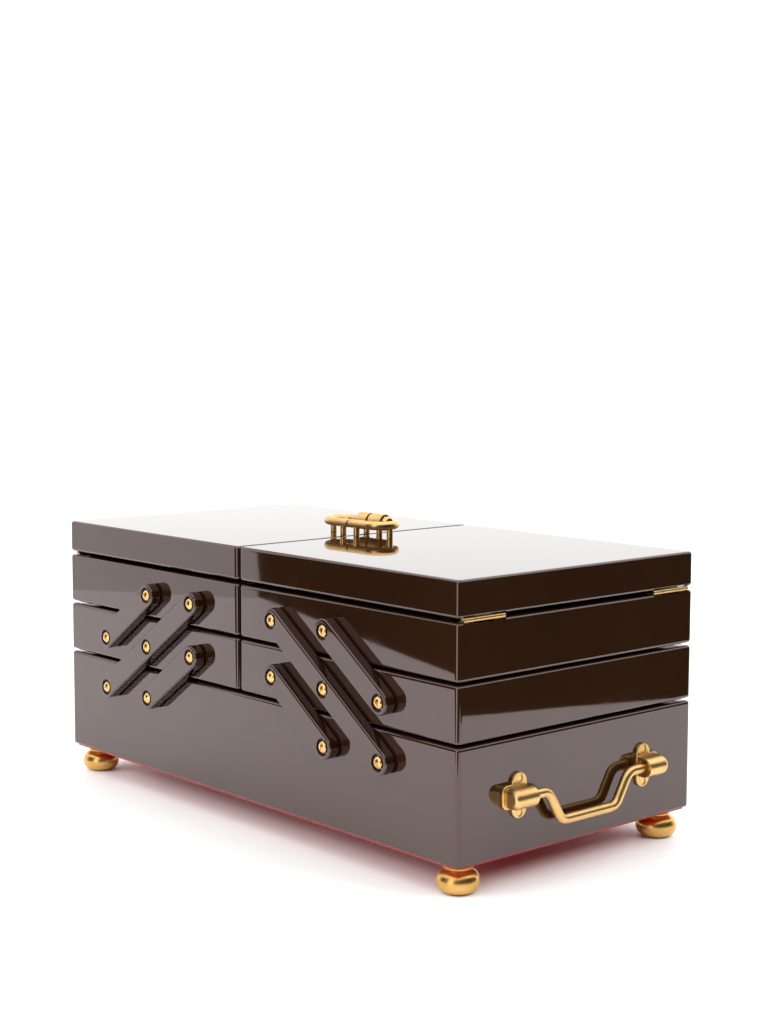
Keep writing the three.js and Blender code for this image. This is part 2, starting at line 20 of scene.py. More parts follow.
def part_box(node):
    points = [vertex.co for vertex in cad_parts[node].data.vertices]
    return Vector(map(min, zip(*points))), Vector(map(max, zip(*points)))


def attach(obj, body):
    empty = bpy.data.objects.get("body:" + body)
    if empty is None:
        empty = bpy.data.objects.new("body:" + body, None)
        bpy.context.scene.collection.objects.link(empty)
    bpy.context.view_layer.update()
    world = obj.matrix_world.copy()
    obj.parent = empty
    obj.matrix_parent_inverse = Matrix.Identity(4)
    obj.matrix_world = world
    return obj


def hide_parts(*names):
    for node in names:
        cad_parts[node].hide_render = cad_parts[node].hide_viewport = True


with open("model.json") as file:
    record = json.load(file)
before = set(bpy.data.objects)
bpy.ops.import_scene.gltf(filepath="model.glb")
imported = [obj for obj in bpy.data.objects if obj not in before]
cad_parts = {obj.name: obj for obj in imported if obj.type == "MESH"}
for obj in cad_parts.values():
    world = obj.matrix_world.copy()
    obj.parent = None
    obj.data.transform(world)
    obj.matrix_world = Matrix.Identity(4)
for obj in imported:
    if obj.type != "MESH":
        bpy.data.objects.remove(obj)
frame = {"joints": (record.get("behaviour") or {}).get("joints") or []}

MM = 0.001
LOG = logging.getLogger("sewing_box")

Colour = tuple[float, float, float, float]
Place = Callable[[float, float, float], Vector]
Level = tuple[float, float]
Point = tuple[float, float]
Corner = tuple[float, float, float]
Seat = tuple[Vector, Vector]
Outline = Callable[[float], list[Point]]

SIDES = {"right": 1, "left": -1}
FACES = {"front": -1, "rear": 1}

# How far a cutting shell runs past the faces that it opens.
CUT_PAST = 1 * MM
# The corner radius of an outline that is meant to be square.
SQUARE_CORNER = 0.01 * MM


class Slot(Enum):
    """The record's material slots."""

    BROWN = "brown_lacquer"
    RED = "red_lacquer"
    BRASS = "satin_brass"
    LINING = "lining"


class Grain(Enum):
    """The way that a metal's polishing marks run, as how densely they cross X, Y and Z."""

    ALONG_X = (60.0, 1500.0, 1500.0)
    ALONG_Y = (1500.0, 60.0, 1500.0)
    LEVEL_RINGS = (90.0, 90.0, 2600.0)
    EVEN = (1400.0, 1400.0, 1400.0)


# ---- Node graphs ----


class Val:
    """A number socket that adds Math nodes when it is used in an expression."""

    def __init__(self, graph: "Graph", socket: bpy.types.NodeSocket) -> None:
        """Keeps the socket and the graph that it is in."""
        self.graph = graph
        self.socket = socket

    def _math(self, operation: str, first: Any, second: Any) -> "Val":
        """Adds one Math node on two values."""
        made = self.graph.node("ShaderNodeMath", {"operation": operation}, {0: first, 1: second})
        return Val(self.graph, made.outputs[0])

    def __add__(self, other: "Val | float") -> "Val":
        """Adds."""
        return self._math("ADD", self, other)

    def __rsub__(self, other: float) -> "Val":
        """Subtracts from a number."""
        return self._math("SUBTRACT", other, self)

    def __mul__(self, other: "Val | float") -> "Val":
        """Multiplies."""
        return self._math("MULTIPLY", self, other)

    def __truediv__(self, other: "Val | float") -> "Val":
        """Divides."""
        return self._math("DIVIDE", self, other)

    def __pow__(self, other: "Val | float") -> "Val":
        """Raises to a power."""
        return self._math("POWER", self, other)


class Graph:
    """A node tree under construction."""

    def __init__(self, tree: bpy.types.NodeTree) -> None:
        """Starts from an empty tree."""
        self.tree = tree
        self.tree.nodes.clear()

    def node(
        self,
        kind: str,
        settings: dict[str, Any] | None = None,
        inputs: dict[str | int, Any] | None = None,
    ) -> bpy.types.Node:
        """Adds one node.

        Args:
            kind: The node's type.
            settings: Its properties, set first.
            inputs: Values or links of its sockets, by name or index.

        Returns:
            The new node.
        """
        made = self.tree.nodes.new(kind)
        for key, value in (settings or {}).items():
            setattr(made, key, value)
        for key, value in (inputs or {}).items():
            source = value.socket if isinstance(value, Val) else value
            if isinstance(source, bpy.types.NodeSocket):
                self.tree.links.new(source, made.inputs[key])
            else:
                made.inputs[key].default_value = source
        return made


class Shader(Graph):
    """A surface material under construction, with its patterns on Object coordinates."""

    def __init__(self, name: str) -> None:
        """Starts an empty material."""
        self.material = bpy.data.materials.new(name)
        self.material.use_nodes = True
        super().__init__(self.material.node_tree)
        self.coordinates = self.node("ShaderNodeTexCoord").outputs["Object"]

    def noise(self, scale: Sequence[float] | float, detail: float = 2.0, rough: float = 0.5) -> Val:
        """Adds a noise pattern.

        Args:
            scale: Its density per metre, one number or one for each axis.
            detail: How many finer layers it has.
            rough: How strong the finer layers are.

        Returns:
            The pattern, from 0 to 1.
        """
        axes = (scale,) * 3 if isinstance(scale, (int, float)) else tuple(scale)
        mapping = self.node("ShaderNodeMapping", {}, {"Vector": self.coordinates, "Scale": axes})
        made = self.node(
            "ShaderNodeTexNoise",
            {},
            {"Vector": mapping.outputs[0], "Scale": 1.0, "Detail": detail, "Roughness": rough},
        )
        return Val(self, made.outputs[0])

    def step(self, value: Val, low: float, high: float) -> Val:
        """Turns a pattern into a mask that is 0 below low and 1 above high."""
        made = self.node(
            "ShaderNodeMapRange",
            {"interpolation_type": "SMOOTHSTEP"},
            {"Value": value, "From Min": low, "From Max": high},
        )
        return Val(self, made.outputs[0])

    def mix(self, factor: Val, first: Any, second: Any) -> bpy.types.NodeSocket:
        """Mixes two colours by a pattern."""
        made = self.node(
            "ShaderNodeMix", {"data_type": "RGBA"}, {0: factor, 6: first, 7: second}
        )
        return made.outputs[2]

    def bump(self, height: Val, distance: float, under: Any = None) -> bpy.types.NodeSocket:
        """Turns a height pattern into a bumped normal.

        Args:
            height: The pattern, where 1 stands out by distance.
            distance: The height in metres.
            under: A bumped normal that this one lies on.

        Returns:
            The normal.
        """
        inputs = {"Height": height, "Strength": 1.0, "Distance": distance}
        if under is not None:
            inputs["Normal"] = under
        return self.node("ShaderNodeBump", {}, inputs).outputs[0]

    def surface(self, values: dict[str, Any]) -> bpy.types.Material:
        """Closes the material with its surface shader."""
        principled = self.node("ShaderNodeBsdfPrincipled", {}, values)
        self.node("ShaderNodeOutputMaterial", {}, {"Surface": principled.outputs[0]})
        return self.material


# ---- Finishes ----


@dataclass(frozen=True)
class Lacquer:
    """A thick, polished coat of coloured lacquer."""

    name: str
    slot: Slot
    deep: Colour
    warm: Colour
    gloss_ior: float = 1.83
    roughness: float = 0.03
    shine: Colour = (1.0, 0.83, 0.84, 1.0)
    haze: float = 0.035
    sag_height: float = 0.045 * MM
    peel_height: float = 0.0011 * MM

    def material(self) -> bpy.types.Material:
        """Makes the node material: clouded colour, faint haze, slow sags and fine orange peel."""
        shader = Shader(self.name)
        clouds = shader.noise(9.0, 3.0)
        flecks = shader.step(shader.noise(900.0, 1.0), 0.62, 0.78)
        tone = shader.step(clouds, 0.32, 0.68) * 0.8 + flecks * 0.2
        smudges = shader.step(shader.noise((26.0, 26.0, 14.0), 4.0, 0.62), 0.52, 0.78)
        sags = shader.bump(shader.noise((13.0, 13.0, 17.0), 1.0), self.sag_height)
        peel = shader.bump(shader.noise(420.0, 1.0), self.peel_height, sags)
        return shader.surface(
            {
                "Base Color": shader.mix(tone, self.deep, self.warm),
                "Roughness": smudges * self.haze + self.roughness,
                "Normal": peel,
                "IOR": self.gloss_ior,
                "Specular Tint": self.shine,
            }
        )


@dataclass(frozen=True)
class Brass:
    """Brass with fine polishing marks and a warmer tone where it has begun to dull."""

    name: str
    bright: Colour
    dull: Colour
    grain: Grain
    roughness: float
    marks: float = 0.0004 * MM
    slot: Slot = Slot.BRASS

    def material(self) -> bpy.types.Material:
        """Makes the node material: toned metal, streaked roughness and brushed marks."""
        shader = Shader(self.name)
        streaks = shader.noise(self.grain.value, 3.0, 0.6)
        patches = shader.step(shader.noise(130.0, 4.0, 0.6), 0.38, 0.72)
        grime = shader.noise(700.0, 2.0)
        return shader.surface(
            {
                "Base Color": shader.mix(patches * 0.75 + grime * 0.25, self.bright, self.dull),
                "Metallic": 1.0,
                "Roughness": streaks * 0.1 + patches * 0.04 + (self.roughness - 0.07),
                "Normal": shader.bump(streaks, self.marks),
            }
        )


@dataclass(frozen=True)
class Felt:
    """Short-napped wool felt, pressed and glued down."""

    name: str
    deep: Colour
    nap: Colour
    slot: Slot = Slot.LINING

    def material(self) -> bpy.types.Material:
        """Makes the node material: tangled fibres, lighter nap and slow shading patches."""
        shader = Shader(self.name)
        fibres = shader.noise((2600.0, 2600.0, 2600.0), 4.0, 0.7)
        clumps = shader.noise(420.0, 3.0, 0.6)
        brushed = shader.noise(28.0, 2.0)
        tone = fibres * 0.55 + clumps * 0.3 + brushed * 0.25
        under = shader.bump(clumps, 0.12 * MM)
        return shader.surface(
            {
                "Base Color": shader.mix(shader.step(tone, 0.36, 0.72), self.deep, self.nap),
                "Roughness": 0.94,
                "Sheen Weight": 0.45,
                "Sheen Roughness": 0.4,
                "Specular IOR Level": 0.2,
                "Normal": shader.bump(fibres, 0.09 * MM, under),
            }
        )


class Finishes:
    """Every finish of the box, with its material made once."""

    def __init__(self) -> None:
        """Makes the materials."""
        pale = (0.80, 0.53, 0.23, 1.0)
        gold = (0.72, 0.44, 0.15, 1.0)
        deep = (0.68, 0.38, 0.10, 1.0)
        self.brown = Lacquer(
            "brown_lacquer", Slot.BROWN, (0.021, 0.0078, 0.0026, 1.0), (0.027, 0.0105, 0.0038, 1.0)
        )
        self.red = Lacquer(
            "red_lacquer", Slot.RED, (0.42, 0.010, 0.008, 1.0), (0.50, 0.018, 0.014, 1.0), 1.5, 0.09
        )
        self.drawn_brass = Brass("drawn_brass", pale, gold, Grain.ALONG_Y, 0.34)
        self.rail_brass = Brass("rail_brass", pale, gold, Grain.ALONG_X, 0.34)
        self.spun_brass = Brass("spun_brass", gold, deep, Grain.LEVEL_RINGS, 0.3)
        self.screw_brass = Brass("screw_brass", pale, gold, Grain.EVEN, 0.26)
        self.red_felt = Felt("red_felt", (0.18, 0.012, 0.010, 1.0), (0.42, 0.035, 0.028, 1.0))
        self.brown_felt = Felt("brown_felt", (0.018, 0.010, 0.007, 1.0), (0.06, 0.035, 0.025, 1.0))
        self._made: dict[str, bpy.types.Material] = {}

    def material(self, finish: Lacquer | Brass | Felt) -> bpy.types.Material:
        """Gives a finish's material, made at its first use."""
        if finish.name not in self._made:
            self._made[finish.name] = finish.material()
        return self._made[finish.name]


# ---- Closed shells ----


def loft(rings: Sequence[Sequence[Vector]], loop: bool = False) -> bpy.types.Mesh:
    """Skins rings of equal length into one closed shell.

    Args:
        rings: The cross-sections in order.
        loop: True where the last ring joins the first, False for closed ends.

    Returns:
        A mesh whose faces point outwards.
    """
    shell = bmesh.new()
    rows = [[shell.verts.new(point) for point in ring] for ring in rings]
    following_rows = rows[1:] + (rows[:1] if loop else [])
    for row, following in zip(rows, following_rows):
        for index, vertex in enumerate(row):
            other = (index + 1) % len(row)
            shell.faces.new((vertex, row[other], following[other], following[index]))
    if not loop:
        shell.faces.new(rows[0])
        shell.faces.new(rows[-1])
    bmesh.ops.recalc_face_normals(shell, faces=shell.faces)
    mesh = bpy.data.meshes.new("shell")
    shell.to_mesh(mesh)
    shell.free()
    return mesh


def arc(centre: Point, radius: float, start: float, end: float, steps: int) -> list[Point]:
    """Gives the points of an arc, with its angles in degrees."""
    angles = [math.radians(start + (end - start) * step / steps) for step in range(steps + 1)]
    return [(centre[0] + radius * math.cos(a), centre[1] + radius * math.sin(a)) for a in angles]


def rounded_rectangle(
    low: Point, high: Point, radius: float, least: float = 0.0, steps: int = 6
) -> Outline:
    """Gives the outline of a rectangle whose corners stay concentric as it is inset.

    Args:
        low: Its lowest corner.
        high: Its highest corner.
        radius: The corner radius at no inset.
        least: The smallest corner radius at any inset.
        steps: The segments of each corner.

    Returns:
        A function from an inset to the outline's points.
    """

    def outline(inset: float) -> list[Point]:
        """Gives the points at one inset."""
        r = max(radius - inset, least)
        x0, x1 = low[0] + inset + r, high[0] - inset - r
        y0, y1 = low[1] + inset + r, high[1] - inset - r
        corners = ((x1, y1), (x0, y1), (x0, y0), (x1, y0))
        return [p for turn, c in enumerate(corners) for p in arc(c, r, turn * 90, turn * 90 + 90, steps)]

    return outline


def stadium(length: float, width: float, steps: int = 16) -> Outline:
    """Gives the outline of a round-ended bar from 0 to length along its first axis."""
    return lambda inset: (
        arc((length, 0.0), width / 2 - inset, -90, 90, steps)
        + arc((0.0, 0.0), width / 2 - inset, 90, 270, steps)
    )


def rounded_edge(radius: float, steps: int = 5) -> list[Level]:
    """Gives (inset, depth below the face) from the side to the face of a rounded edge."""
    turns = [math.pi / 2 * step / steps for step in range(steps + 1)]
    return [(radius * (1 - math.cos(turn)), radius * (1 - math.sin(turn))) for turn in turns]


def edge_levels(bottom: float, top: float, lower_edge: float, upper_edge: float) -> list[Level]:
    """Gives the levels of a slab with a rounded lower and upper edge, from bottom to top."""
    lower = [(inset, bottom + depth) for inset, depth in reversed(rounded_edge(lower_edge))]
    upper = [(inset, top - depth) for inset, depth in rounded_edge(upper_edge)]
    return lower + upper


def slab(outline: Outline, levels: Sequence[Level], place: Place, loop: bool = False) -> bpy.types.Mesh:
    """Stacks insets of an outline into a closed shell.

    Args:
        outline: The outline as a function of its inset.
        levels: (inset, height) of each ring in order.
        place: Turns two outline coordinates and a height into a point.
        loop: True where the rings close on themselves, as in a frame.

    Returns:
        The shell.
    """
    return loft([[place(a, b, height) for a, b in outline(inset)] for inset, height in levels], loop)


def upright(a: float, b: float, height: float) -> Vector:
    """Places an outline drawn on the table."""
    return Vector((a, b, height))


def lathe(
    profile: Sequence[Point], origin: Vector, axis: Vector, steps: int = 40
) -> bpy.types.Mesh:
    """Turns a profile round an axis.

    Args:
        profile: (radius, distance along the axis) from end to end.
        origin: A point on the axis.
        axis: The axis' unit direction.
        steps: The segments round it.

    Returns:
        The closed shell.
    """
    across = axis.orthogonal().normalized()
    third = axis.cross(across)
    turns = [math.tau * (step + 0.5) / steps for step in range(steps)]
    return loft(
        [
            [origin + axis * along + (across * math.cos(t) + third * math.sin(t)) * radius for t in turns]
            for radius, along in profile
        ]
    )


def bar_profile(radius: float, start: float, end: float, chamfer: float) -> list[Point]:
    """Gives the profile of a round bar whose ends are eased."""
    return [
        (radius - chamfer, start),
        (radius - chamfer * 0.3, start + chamfer * 0.3),
        (radius, start + chamfer),
        (radius, end - chamfer),
        (radius - chamfer * 0.3, end - chamfer * 0.3),
        (radius - chamfer, end),
    ]


def sweep(
    path: Sequence[Vector], radius: float, binormal: Vector, ends: float, steps: int = 28
) -> bpy.types.Mesh:
    """Runs a round section along a flat path.

    Args:
        path: The centre line's points.
        radius: The section's radius.
        binormal: The unit normal of the path's plane.
        ends: How far each end is eased.
        steps: The segments round the section.

    Returns:
        The closed shell.
    """
    first = (path[1] - path[0]).normalized()
    last = (path[-1] - path[-2]).normalized()
    centres = [path[0], path[0] + first * ends, *path[1:-1], path[-1] - last * ends, path[-1]]
    radii = [radius - ends, *[radius] * (len(centres) - 2), radius - ends]
    rings = []
    for index, centre in enumerate(centres):
        tangent = centres[min(index + 1, len(centres) - 1)] - centres[max(index - 1, 0)]
        side = binormal.cross(tangent.normalized())
        turns = [math.tau * step / steps for step in range(steps)]
        rings.append([centre + (binormal * math.cos(t) + side * math.sin(t)) * radii[index] for t in turns])
    return loft(rings)


def temporary(mesh: bpy.types.Mesh) -> bpy.types.Object:
    """Puts a mesh in the scene while modifiers work on it."""
    made = bpy.data.objects.new("temporary", mesh)
    bpy.context.scene.collection.objects.link(made)
    return made


def evaluated_copy(source: bpy.types.Object) -> bpy.types.Mesh:
    """Gives the mesh that an object's modifiers make."""
    graph = bpy.context.evaluated_depsgraph_get()
    return bpy.data.meshes.new_from_object(source.evaluated_get(graph), depsgraph=graph)


def shape(
    first: bpy.types.Mesh, joins: Sequence[bpy.types.Mesh] = (), cuts: Sequence[bpy.types.Mesh] = ()
) -> bpy.types.Mesh:
    """Joins closed shells to a first one and cuts others out of it.

    Args:
        first: The shell to start from.
        joins: Shells that become one with it.
        cuts: Shells whose room is taken away.

    Returns:
        One closed mesh.
    """
    if not joins and not cuts:
        return first
    whole = temporary(first)
    tools = []
    for operation, shells in (("UNION", joins), ("DIFFERENCE", cuts)):
        for shell in shells:
            tool = temporary(shell)
            tools.append(tool)
            modifier = whole.modifiers.new("tool", "BOOLEAN")
            modifier.operation = operation
            modifier.solver = "EXACT"
            modifier.object = tool
    made = evaluated_copy(whole)
    for used in (*tools, whole):
        bpy.data.objects.remove(used)
    return made


def gathered(meshes: Sequence[bpy.types.Mesh]) -> bpy.types.Mesh:
    """Puts separate shells into one mesh."""
    whole = bmesh.new()
    for mesh in meshes:
        whole.from_mesh(mesh)
    made = bpy.data.meshes.new("gathered")
    whole.to_mesh(made)
    whole.free()
    return made


class Bench:
    """Where finished meshes become pieces of the box."""

    WELD = 0.002 * MM
    SHARP_ANGLE = math.radians(34)

    def __init__(self, finishes: Finishes) -> None:
        """Keeps the finishes."""
        self.finishes = finishes

    def smooth(self, mesh: bpy.types.Mesh) -> bpy.types.Mesh:
        """Welds a mesh and gives it smooth rounds, flat faces and sharp edges."""
        draft = bmesh.new()
        draft.from_mesh(mesh)
        bmesh.ops.remove_doubles(draft, verts=draft.verts, dist=self.WELD)
        bmesh.ops.dissolve_degenerate(draft, edges=draft.edges, dist=self.WELD)
        draft.to_mesh(mesh)
        draft.free()
        mesh.polygons.foreach_set("use_smooth", [True] * len(mesh.polygons))
        mesh.set_sharp_from_angle(angle=self.SHARP_ANGLE)
        holder = temporary(mesh)
        modifier = holder.modifiers.new("flat_faces", "WEIGHTED_NORMAL")
        modifier.keep_sharp = True
        made = evaluated_copy(holder)
        bpy.data.objects.remove(holder)
        return made

    def piece(
        self,
        name: str,
        mesh: bpy.types.Mesh,
        body: str,
        finish: Lacquer | Brass | Felt,
        stands_for: Sequence[str] = (),
    ) -> bpy.types.Object:
        """Adds one piece of the box.

        Args:
            name: The piece's name.
            mesh: Its mesh, in place.
            body: The CAD body that it rides on.
            finish: What it is made of.
            stands_for: The CAD nodes that it is shown instead of.

        Returns:
            The piece.
        """
        smooth = self.smooth(mesh)
        smooth.name = name
        smooth.materials.clear()
        smooth.materials.append(self.finishes.material(finish))
        made = bpy.data.objects.new(name, smooth)
        bpy.context.scene.collection.objects.link(made)
        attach(made, body)
        if stands_for:
            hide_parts(*stands_for)
        LOG.info("%s rides on %s, %d faces", name, body, len(smooth.polygons))
        return made


# ---- Places taken from the frame ----


def joint_at(name: str) -> Vector:
    """Gives the point that a joint turns about."""
    return next(Vector(joint["pos_m"]) for joint in frame["joints"] if joint["name"] == name)


@dataclass(frozen=True)
class Pivots:
    """The pivots of one column's arms, on the line through the middle of the box."""

    base_outer: Vector
    base_inner: Vector
    lower_outer: Vector
    lower_middle: Vector
    lower_inner: Vector
    upper_outer: Vector
    upper_inner: Vector

    @classmethod
    def of(cls, side: str) -> "Pivots":
        """Reads one column's pivots from its joints."""
        fold = joint_at(f"{side}_fold")
        base_link = joint_at(f"{side}_base_link_pivot")
        tray_link = joint_at(f"{side}_tray_link_pivot")
        middle = joint_at(f"{side}_lower_tray_pivot")
        step = middle - fold
        return cls(
            base_outer=fold,
            base_inner=base_link,
            lower_outer=tray_link,
            lower_middle=middle,
            lower_inner=base_link + step,
            upper_outer=tray_link + step,
            upper_inner=joint_at(f"{side}_upper_tray_pivot"),
        )


# ---- Lacquered boxes ----


@dataclass
class Boxes:
    """The base, the four trays and the two lids, with their bottoms and linings."""

    bench: Bench
    wall: float = 8 * MM
    edge: float = 2 * MM
    corner: float = 3 * MM
    rim_edge: float = 0.7 * MM
    inner_corner: float = 1.2 * MM
    rebate: float = 3 * MM
    rebate_height: float = 4.4 * MM
    lid_top: float = 5 * MM
    felt: float = 0.8 * MM
    felt_gap: float = 0.05 * MM
    felt_margin: float = 2.2 * MM
    bore: float = 2.9 * MM
    felt_fold: float = 1.4 * MM
    seat_clearance: float = 0.2 * MM
    leaf_seat: float = 1.1 * MM
    panel_fit: float = 0.2 * MM
    panel_under_case: float = 0.1 * MM

    def build(self) -> None:
        """Makes every box."""
        self.base()
        for side in SIDES:
            for level in ("lower", "upper"):
                self.tray(side, level)
            self.lid(side)

    def _outline(self, node: str) -> Outline:
        """Gives the plan outline of a box node."""
        low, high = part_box(node)
        return rounded_rectangle(low[:2], high[:2], self.corner, self.inner_corner)

    def _walls(self, node: str, rebated: bool) -> bpy.types.Mesh:
        """Makes four walls in one, with a step inside the lower edge where a bottom is let in."""
        low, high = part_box(node)
        eased = reversed(rounded_edge(self.rim_edge, 3))
        rim = [(self.wall - inset, high.z - depth) for inset, depth in eased]
        levels = edge_levels(low.z, high.z, self.edge, self.edge) + rim
        if rebated:
            step = self.wall - self.rebate
            shelf = low.z + self.rebate_height
            levels += [(self.wall, shelf), (step, shelf), (step, low.z)]
        else:
            levels.append((self.wall, low.z))
        return slab(self._outline(node), levels, upright, loop=True)

    def _bores(self, pivots: Sequence[Vector], reach: float) -> list[bpy.types.Mesh]:
        """Gives what the pivot screws need cut out of both long walls."""
        profile = [(self.bore, reach - self.wall - CUT_PAST), (self.bore, reach + CUT_PAST)]
        return [
            lathe(profile, pivot, Vector((0.0, face, 0.0)), 24) for pivot in pivots for face in FACES.values()
        ]

    def _hinge_seats(self, side: str, leaf: str, rim: float, towards: int) -> list[bpy.types.Mesh]:
        """Gives the sunk seats of a rim's two hinge leaves, open to the end face."""
        seats = []
        for face in FACES:
            low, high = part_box(f"{side}_{face}_hinge_{leaf}_leaf")
            clear = self.seat_clearance
            inner = min(abs(low.x), abs(high.x)) - clear
            outer = max(abs(low.x), abs(high.x)) + clear
            xs = sorted(SIDES[side] * x for x in (inner, outer))
            near, far = (xs[0], low.y - clear), (xs[1], high.y + clear)
            outline = rounded_rectangle(near, far, 0.0, SQUARE_CORNER, 1)
            deep = rim + towards * (self.leaf_seat + clear)
            seats.append(slab(outline, [(0.0, deep), (0.0, rim - towards * CUT_PAST)], upright))
        return seats

    def _lining(self, name: str, node: str, floor: float, rim: float, body: str) -> None:
        """Lines a box with felt from its floor to just short of its rim, either way up."""
        way = 1 if rim > floor else -1
        outer = self.wall + self.felt_gap
        inner = outer + self.felt
        end = rim - way * self.felt_margin
        soft = self.felt * 0.4
        levels = [(outer, floor), (outer, end - way * soft), (outer + soft, end)]
        levels += [(inner - soft, end), (inner, end - way * soft)]
        level_floor = floor + way * self.felt
        turned_in = rounded_edge(self.felt_fold, 4)
        levels += [(inner + inset, level_floor + way * depth) for inset, depth in turned_in]
        mesh = slab(self._outline(node), levels, upright)
        self.bench.piece(name, mesh, body, self.bench.finishes.red_felt)

    def base(self) -> None:
        """Makes the base case, its red bottom panel and its lining."""
        low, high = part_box("base_case")
        columns = [Pivots.of(side) for side in SIDES]
        pivots = [pivot for column in columns for pivot in (column.base_outer, column.base_inner)]
        case = shape(self._walls("base_case", False), cuts=self._bores(pivots, high.y))
        self.bench.piece("base_case_lacquered", case, "base", self.bench.finishes.brown, ["base_case"])
        under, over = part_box("base_bottom_panel")
        outline = rounded_rectangle(under[:2], over[:2], self.corner, 0.6 * MM)
        lip = low.z - self.panel_under_case
        step = self.wall + self.panel_fit - (under.x - low.x)
        levels = [*edge_levels(under.z, lip, 0.35 * MM, 0.1 * MM), (step, lip), (step, over.z)]
        panel = slab(outline, levels, upright)
        red = self.bench.finishes.red
        self.bench.piece("base_panel_lacquered", panel, "base", red, ["base_bottom_panel"])
        self._lining("base_felt_lining", "base_case", over.z + self.felt_gap, high.z, "base")

    def tray(self, side: str, level: str) -> None:
        """Makes one tray's walls, bottom board and lining."""
        node = f"{side}_{level}_tray"
        low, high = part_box(node)
        pivots = Pivots.of(side)
        if level == "lower":
            cuts = self._bores([pivots.lower_outer, pivots.lower_middle, pivots.lower_inner], high.y)
        else:
            cuts = self._bores([pivots.upper_outer, pivots.upper_inner], high.y)
            cuts += self._hinge_seats(side, "tray", high.z, -1)
        walls = shape(self._walls(node, True), cuts=cuts)
        self.bench.piece(f"{node}_lacquered", walls, node, self.bench.finishes.brown, [node])
        under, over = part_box(f"{node}_bottom")
        outline = rounded_rectangle(under[:2], over[:2], self.corner / 2, 0.3 * MM)
        board = slab(outline, edge_levels(under.z, over.z, 0.4 * MM, 0.2 * MM), upright)
        self.bench.piece(f"{node}_board", board, node, self.bench.finishes.brown, [f"{node}_bottom"])
        self._lining(f"{node}_felt_lining", node, low.z + self.rebate_height, high.z, node)

    def lid(self, side: str) -> None:
        """Makes one lid and its lining."""
        node = f"{side}_lid"
        low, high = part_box(node)
        ceiling = high.z - self.lid_top
        rim = [(self.wall - inset, low.z + depth) for inset, depth in rounded_edge(self.rim_edge, 3)]
        levels = [(self.wall, ceiling), *rim, *edge_levels(low.z, high.z, self.edge, self.edge)]
        shell = slab(self._outline(node), levels, upright)
        top = shape(shell, cuts=self._hinge_seats(side, "lid", low.z, 1))
        self.bench.piece(f"{node}_lacquered", top, node, self.bench.finishes.brown, [node])
        self._lining(f"{node}_felt_lining", node, ceiling, low.z, node)


# ---- Arms and pivot screws ----


@dataclass
class Arms:
    """The lever arms on both faces, with the sunk seats of their screws."""

    bench: Bench
    width: float = 15 * MM
    front_edge: float = 1.3 * MM
    back_edge: float = 0.7 * MM
    bore: float = 2.3 * MM
    sink: float = 5.1 * MM
    sink_depth: float = 2.2 * MM
    sink_lip: float = 0.45 * MM

    def build(self) -> None:
        """Makes the three arms of each column on each face."""
        for side in SIDES:
            column = Pivots.of(side)
            long_pivots = [column.base_outer, column.lower_middle, column.upper_inner]
            base_pivots = [column.base_inner, column.lower_inner]
            tray_pivots = [column.lower_outer, column.upper_outer]
            for face in FACES:
                self.arm(f"{side}_{face}_long_arm", f"{side}_long_arms", long_pivots)
                self.arm(f"{side}_{face}_base_link", f"{side}_base_links", base_pivots)
                self.arm(f"{side}_{face}_tray_link", f"{side}_tray_links", tray_pivots)

    def arm(self, node: str, body: str, pivots: Sequence[Vector]) -> None:
        """Makes one arm.

        Args:
            node: The CAD node that it stands for.
            body: The body that it rides on.
            pivots: Its pivots from the lowest up.
        """
        low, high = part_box(node)
        face = 1 if high.y > 0 else -1
        back = min(abs(low.y), abs(high.y))
        front = max(abs(low.y), abs(high.y))
        along = (pivots[-1] - pivots[0]).normalized()
        across = along.cross(Vector((0.0, 1.0, 0.0)))
        start = pivots[0].copy()
        start.y = 0.0

        def place(a: float, b: float, height: float) -> Vector:
            """Places the arm's outline on its face of the box."""
            return start + along * a + across * b + Vector((0.0, face * height, 0.0))

        length = (pivots[-1] - pivots[0]).length
        levels = edge_levels(back, front, self.back_edge, self.front_edge)
        bar = slab(stadium(length, self.width), levels, place)
        profile = self._seat_profile(back, front)
        outwards = Vector((0.0, face, 0.0))
        seats = [lathe(profile, pivot, outwards, 48) for pivot in pivots]
        brown = self.bench.finishes.brown
        self.bench.piece(f"{node}_lacquered", shape(bar, cuts=seats), body, brown, [node])

    def _seat_profile(self, back: float, front: float) -> list[Point]:
        """Gives the profile of a screw's hole and its sunk seat, with an eased lip."""
        seat = front - self.sink_depth
        lip = self.sink_lip
        return [
            (self.bore, back - CUT_PAST),
            (self.bore, seat),
            (self.sink, seat),
            (self.sink, front - lip),
            (self.sink + lip * 0.13, front - lip * 0.5),
            (self.sink + lip * 0.5, front - lip * 0.13),
            (self.sink + lip, front),
            (self.sink + lip + CUT_PAST, front + CUT_PAST),
        ]


@dataclass(frozen=True)
class ScrewSize:
    """The sizes of one kind of slotted screw, measured from under its head."""

    head: float
    rim: float
    crown: float
    slot_width: float
    slot_depth: float
    shank: float
    length: float
    seed: int


